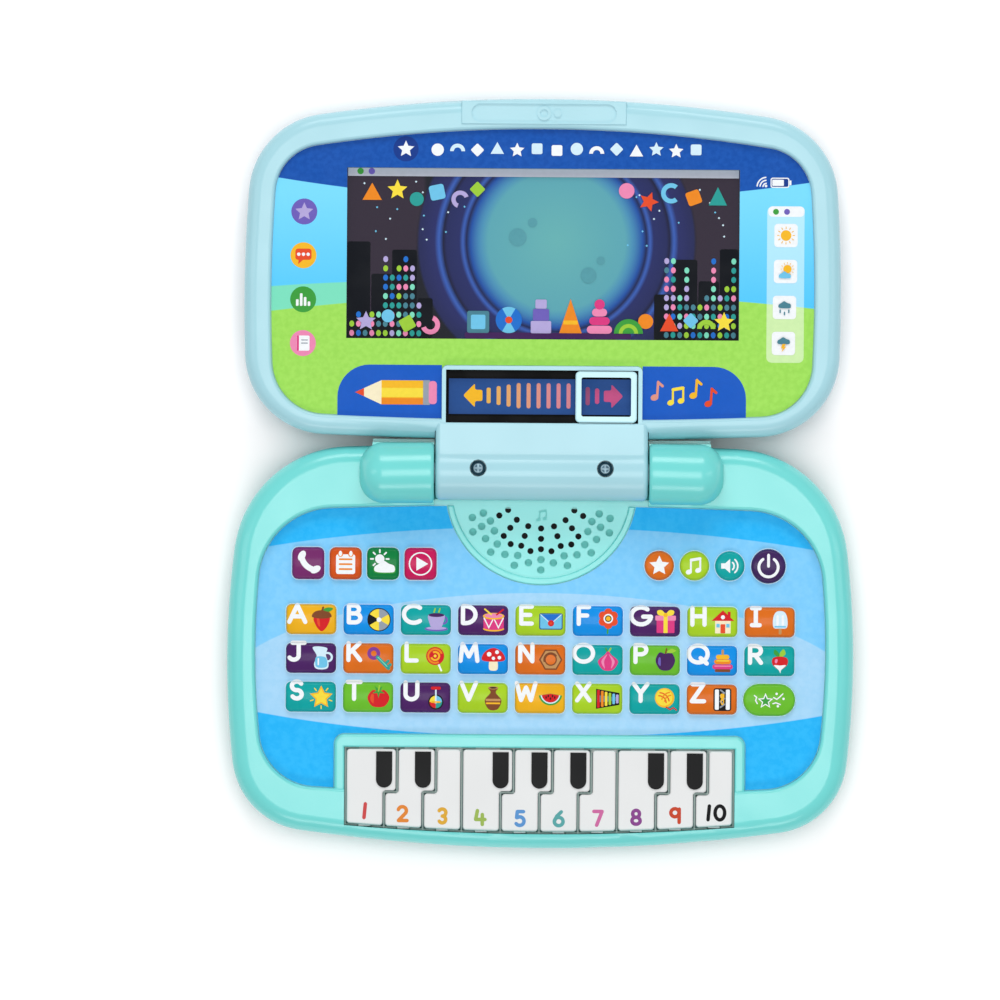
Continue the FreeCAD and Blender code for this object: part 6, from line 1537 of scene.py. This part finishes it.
def screw_finish():
    """Blackened steel with painted glints on the cross and the rim of each head, and a painted shade ring
    round the hinge screws' heads.
    """
    material, tree, place = surface("screw_steel")
    axes = axes_of(tree, place)
    away = (number(tree, "SUBTRACT", number(tree, "ABSOLUTE", axes["X"]), HINGE_SCREW[0] * MM),
            number(tree, "SUBTRACT", axes["Y"], HINGE_SCREW[1] * MM))
    join = add(tree, "ShaderNodeCombineXYZ", {"X": away[0], "Y": away[1]})
    reach = length_of(tree, join.outputs["Vector"])
    outside = edge_mask(tree, reach, (HEAD - 0.15) * MM, (HEAD + 0.15) * MM)
    # Painted shade: a dark ring round each hinge screw's head stands for the shade in its hole.
    dark = number(tree, "MULTIPLY", outside, edge_mask(tree, reach, (RING + 0.1) * MM, RING * MM))
    # Painted highlight: glints painted on the rim and along the cross of each head.
    painted_glint = edge_mask(tree, reach, (GLINT_RING - 0.15) * MM, GLINT_RING * MM)
    for part in away:
        off_line = number(tree, "ABSOLUTE", part)
        arm = edge_mask(tree, off_line, (CROSS_HALF + 0.1) * MM, CROSS_HALF * MM)
        painted_glint = number(tree, "MAXIMUM", painted_glint, arm)
    head = blend(tree, drift(tree, place, 260), paint(80, 104, 118), paint(66, 90, 103))
    head = blend(tree, painted_glint, head, paint(136, 160, 170))
    shade(tree, {"Metallic": 1.0, "Base Color": blend(tree, dark, head, paint(24, 46, 56)),
                 "Roughness": drift(tree, place, 500, 0.4, 0.5),
                 "Normal": grain(tree, place, *METAL_GRAIN)})
    return material


polish("lid_screws", screw_finish())
polish("base_screws", steel)
polish("battery_contacts", steel)
polish("main_board", finish["board_green"])


def relief(name, body, layers, spot, size, low, high, material):
    """Raised sign with upright sides."""
    form = bmesh.new()
    for n, (ink, *loops) in enumerate(layers):
        fill(form, loops, high - 0.01 * n, 0, spot, size)
    rim = [edge for edge in form.edges if edge.is_boundary]
    walls = bmesh.ops.extrude_edge_only(form, edges=rim)["geom"]
    for vertex in walls:
        if isinstance(vertex, bmesh.types.BMVert):
            vertex.co.z = low * MM
    bmesh.ops.recalc_face_normals(form, faces=form.faces)
    cut_piece(name, body, form, [material])


NOTE_FOOT, NOTE_TOP, GRILLE_SHADE_TOP = 21.9, 22.35, 19.85
# Painted shade: the raised note takes the darker grille finish so that it shows.
relief("grille_note", "base", inked("white", TWO_NOTES), (0.4, -15.6), 2.5, NOTE_FOOT, NOTE_TOP, grille_shade)
# Painted shade: a black half disc behind the grille's holes darkens the inside.
half_disc = arc_line(0, GRILLE_MIDDLE, GRILLE_REACH, 192, 348, 40)
decal("grille_painted_shade", "base", [("painted_shade_black", half_disc)], plane=GRILLE_SHADE_TOP)
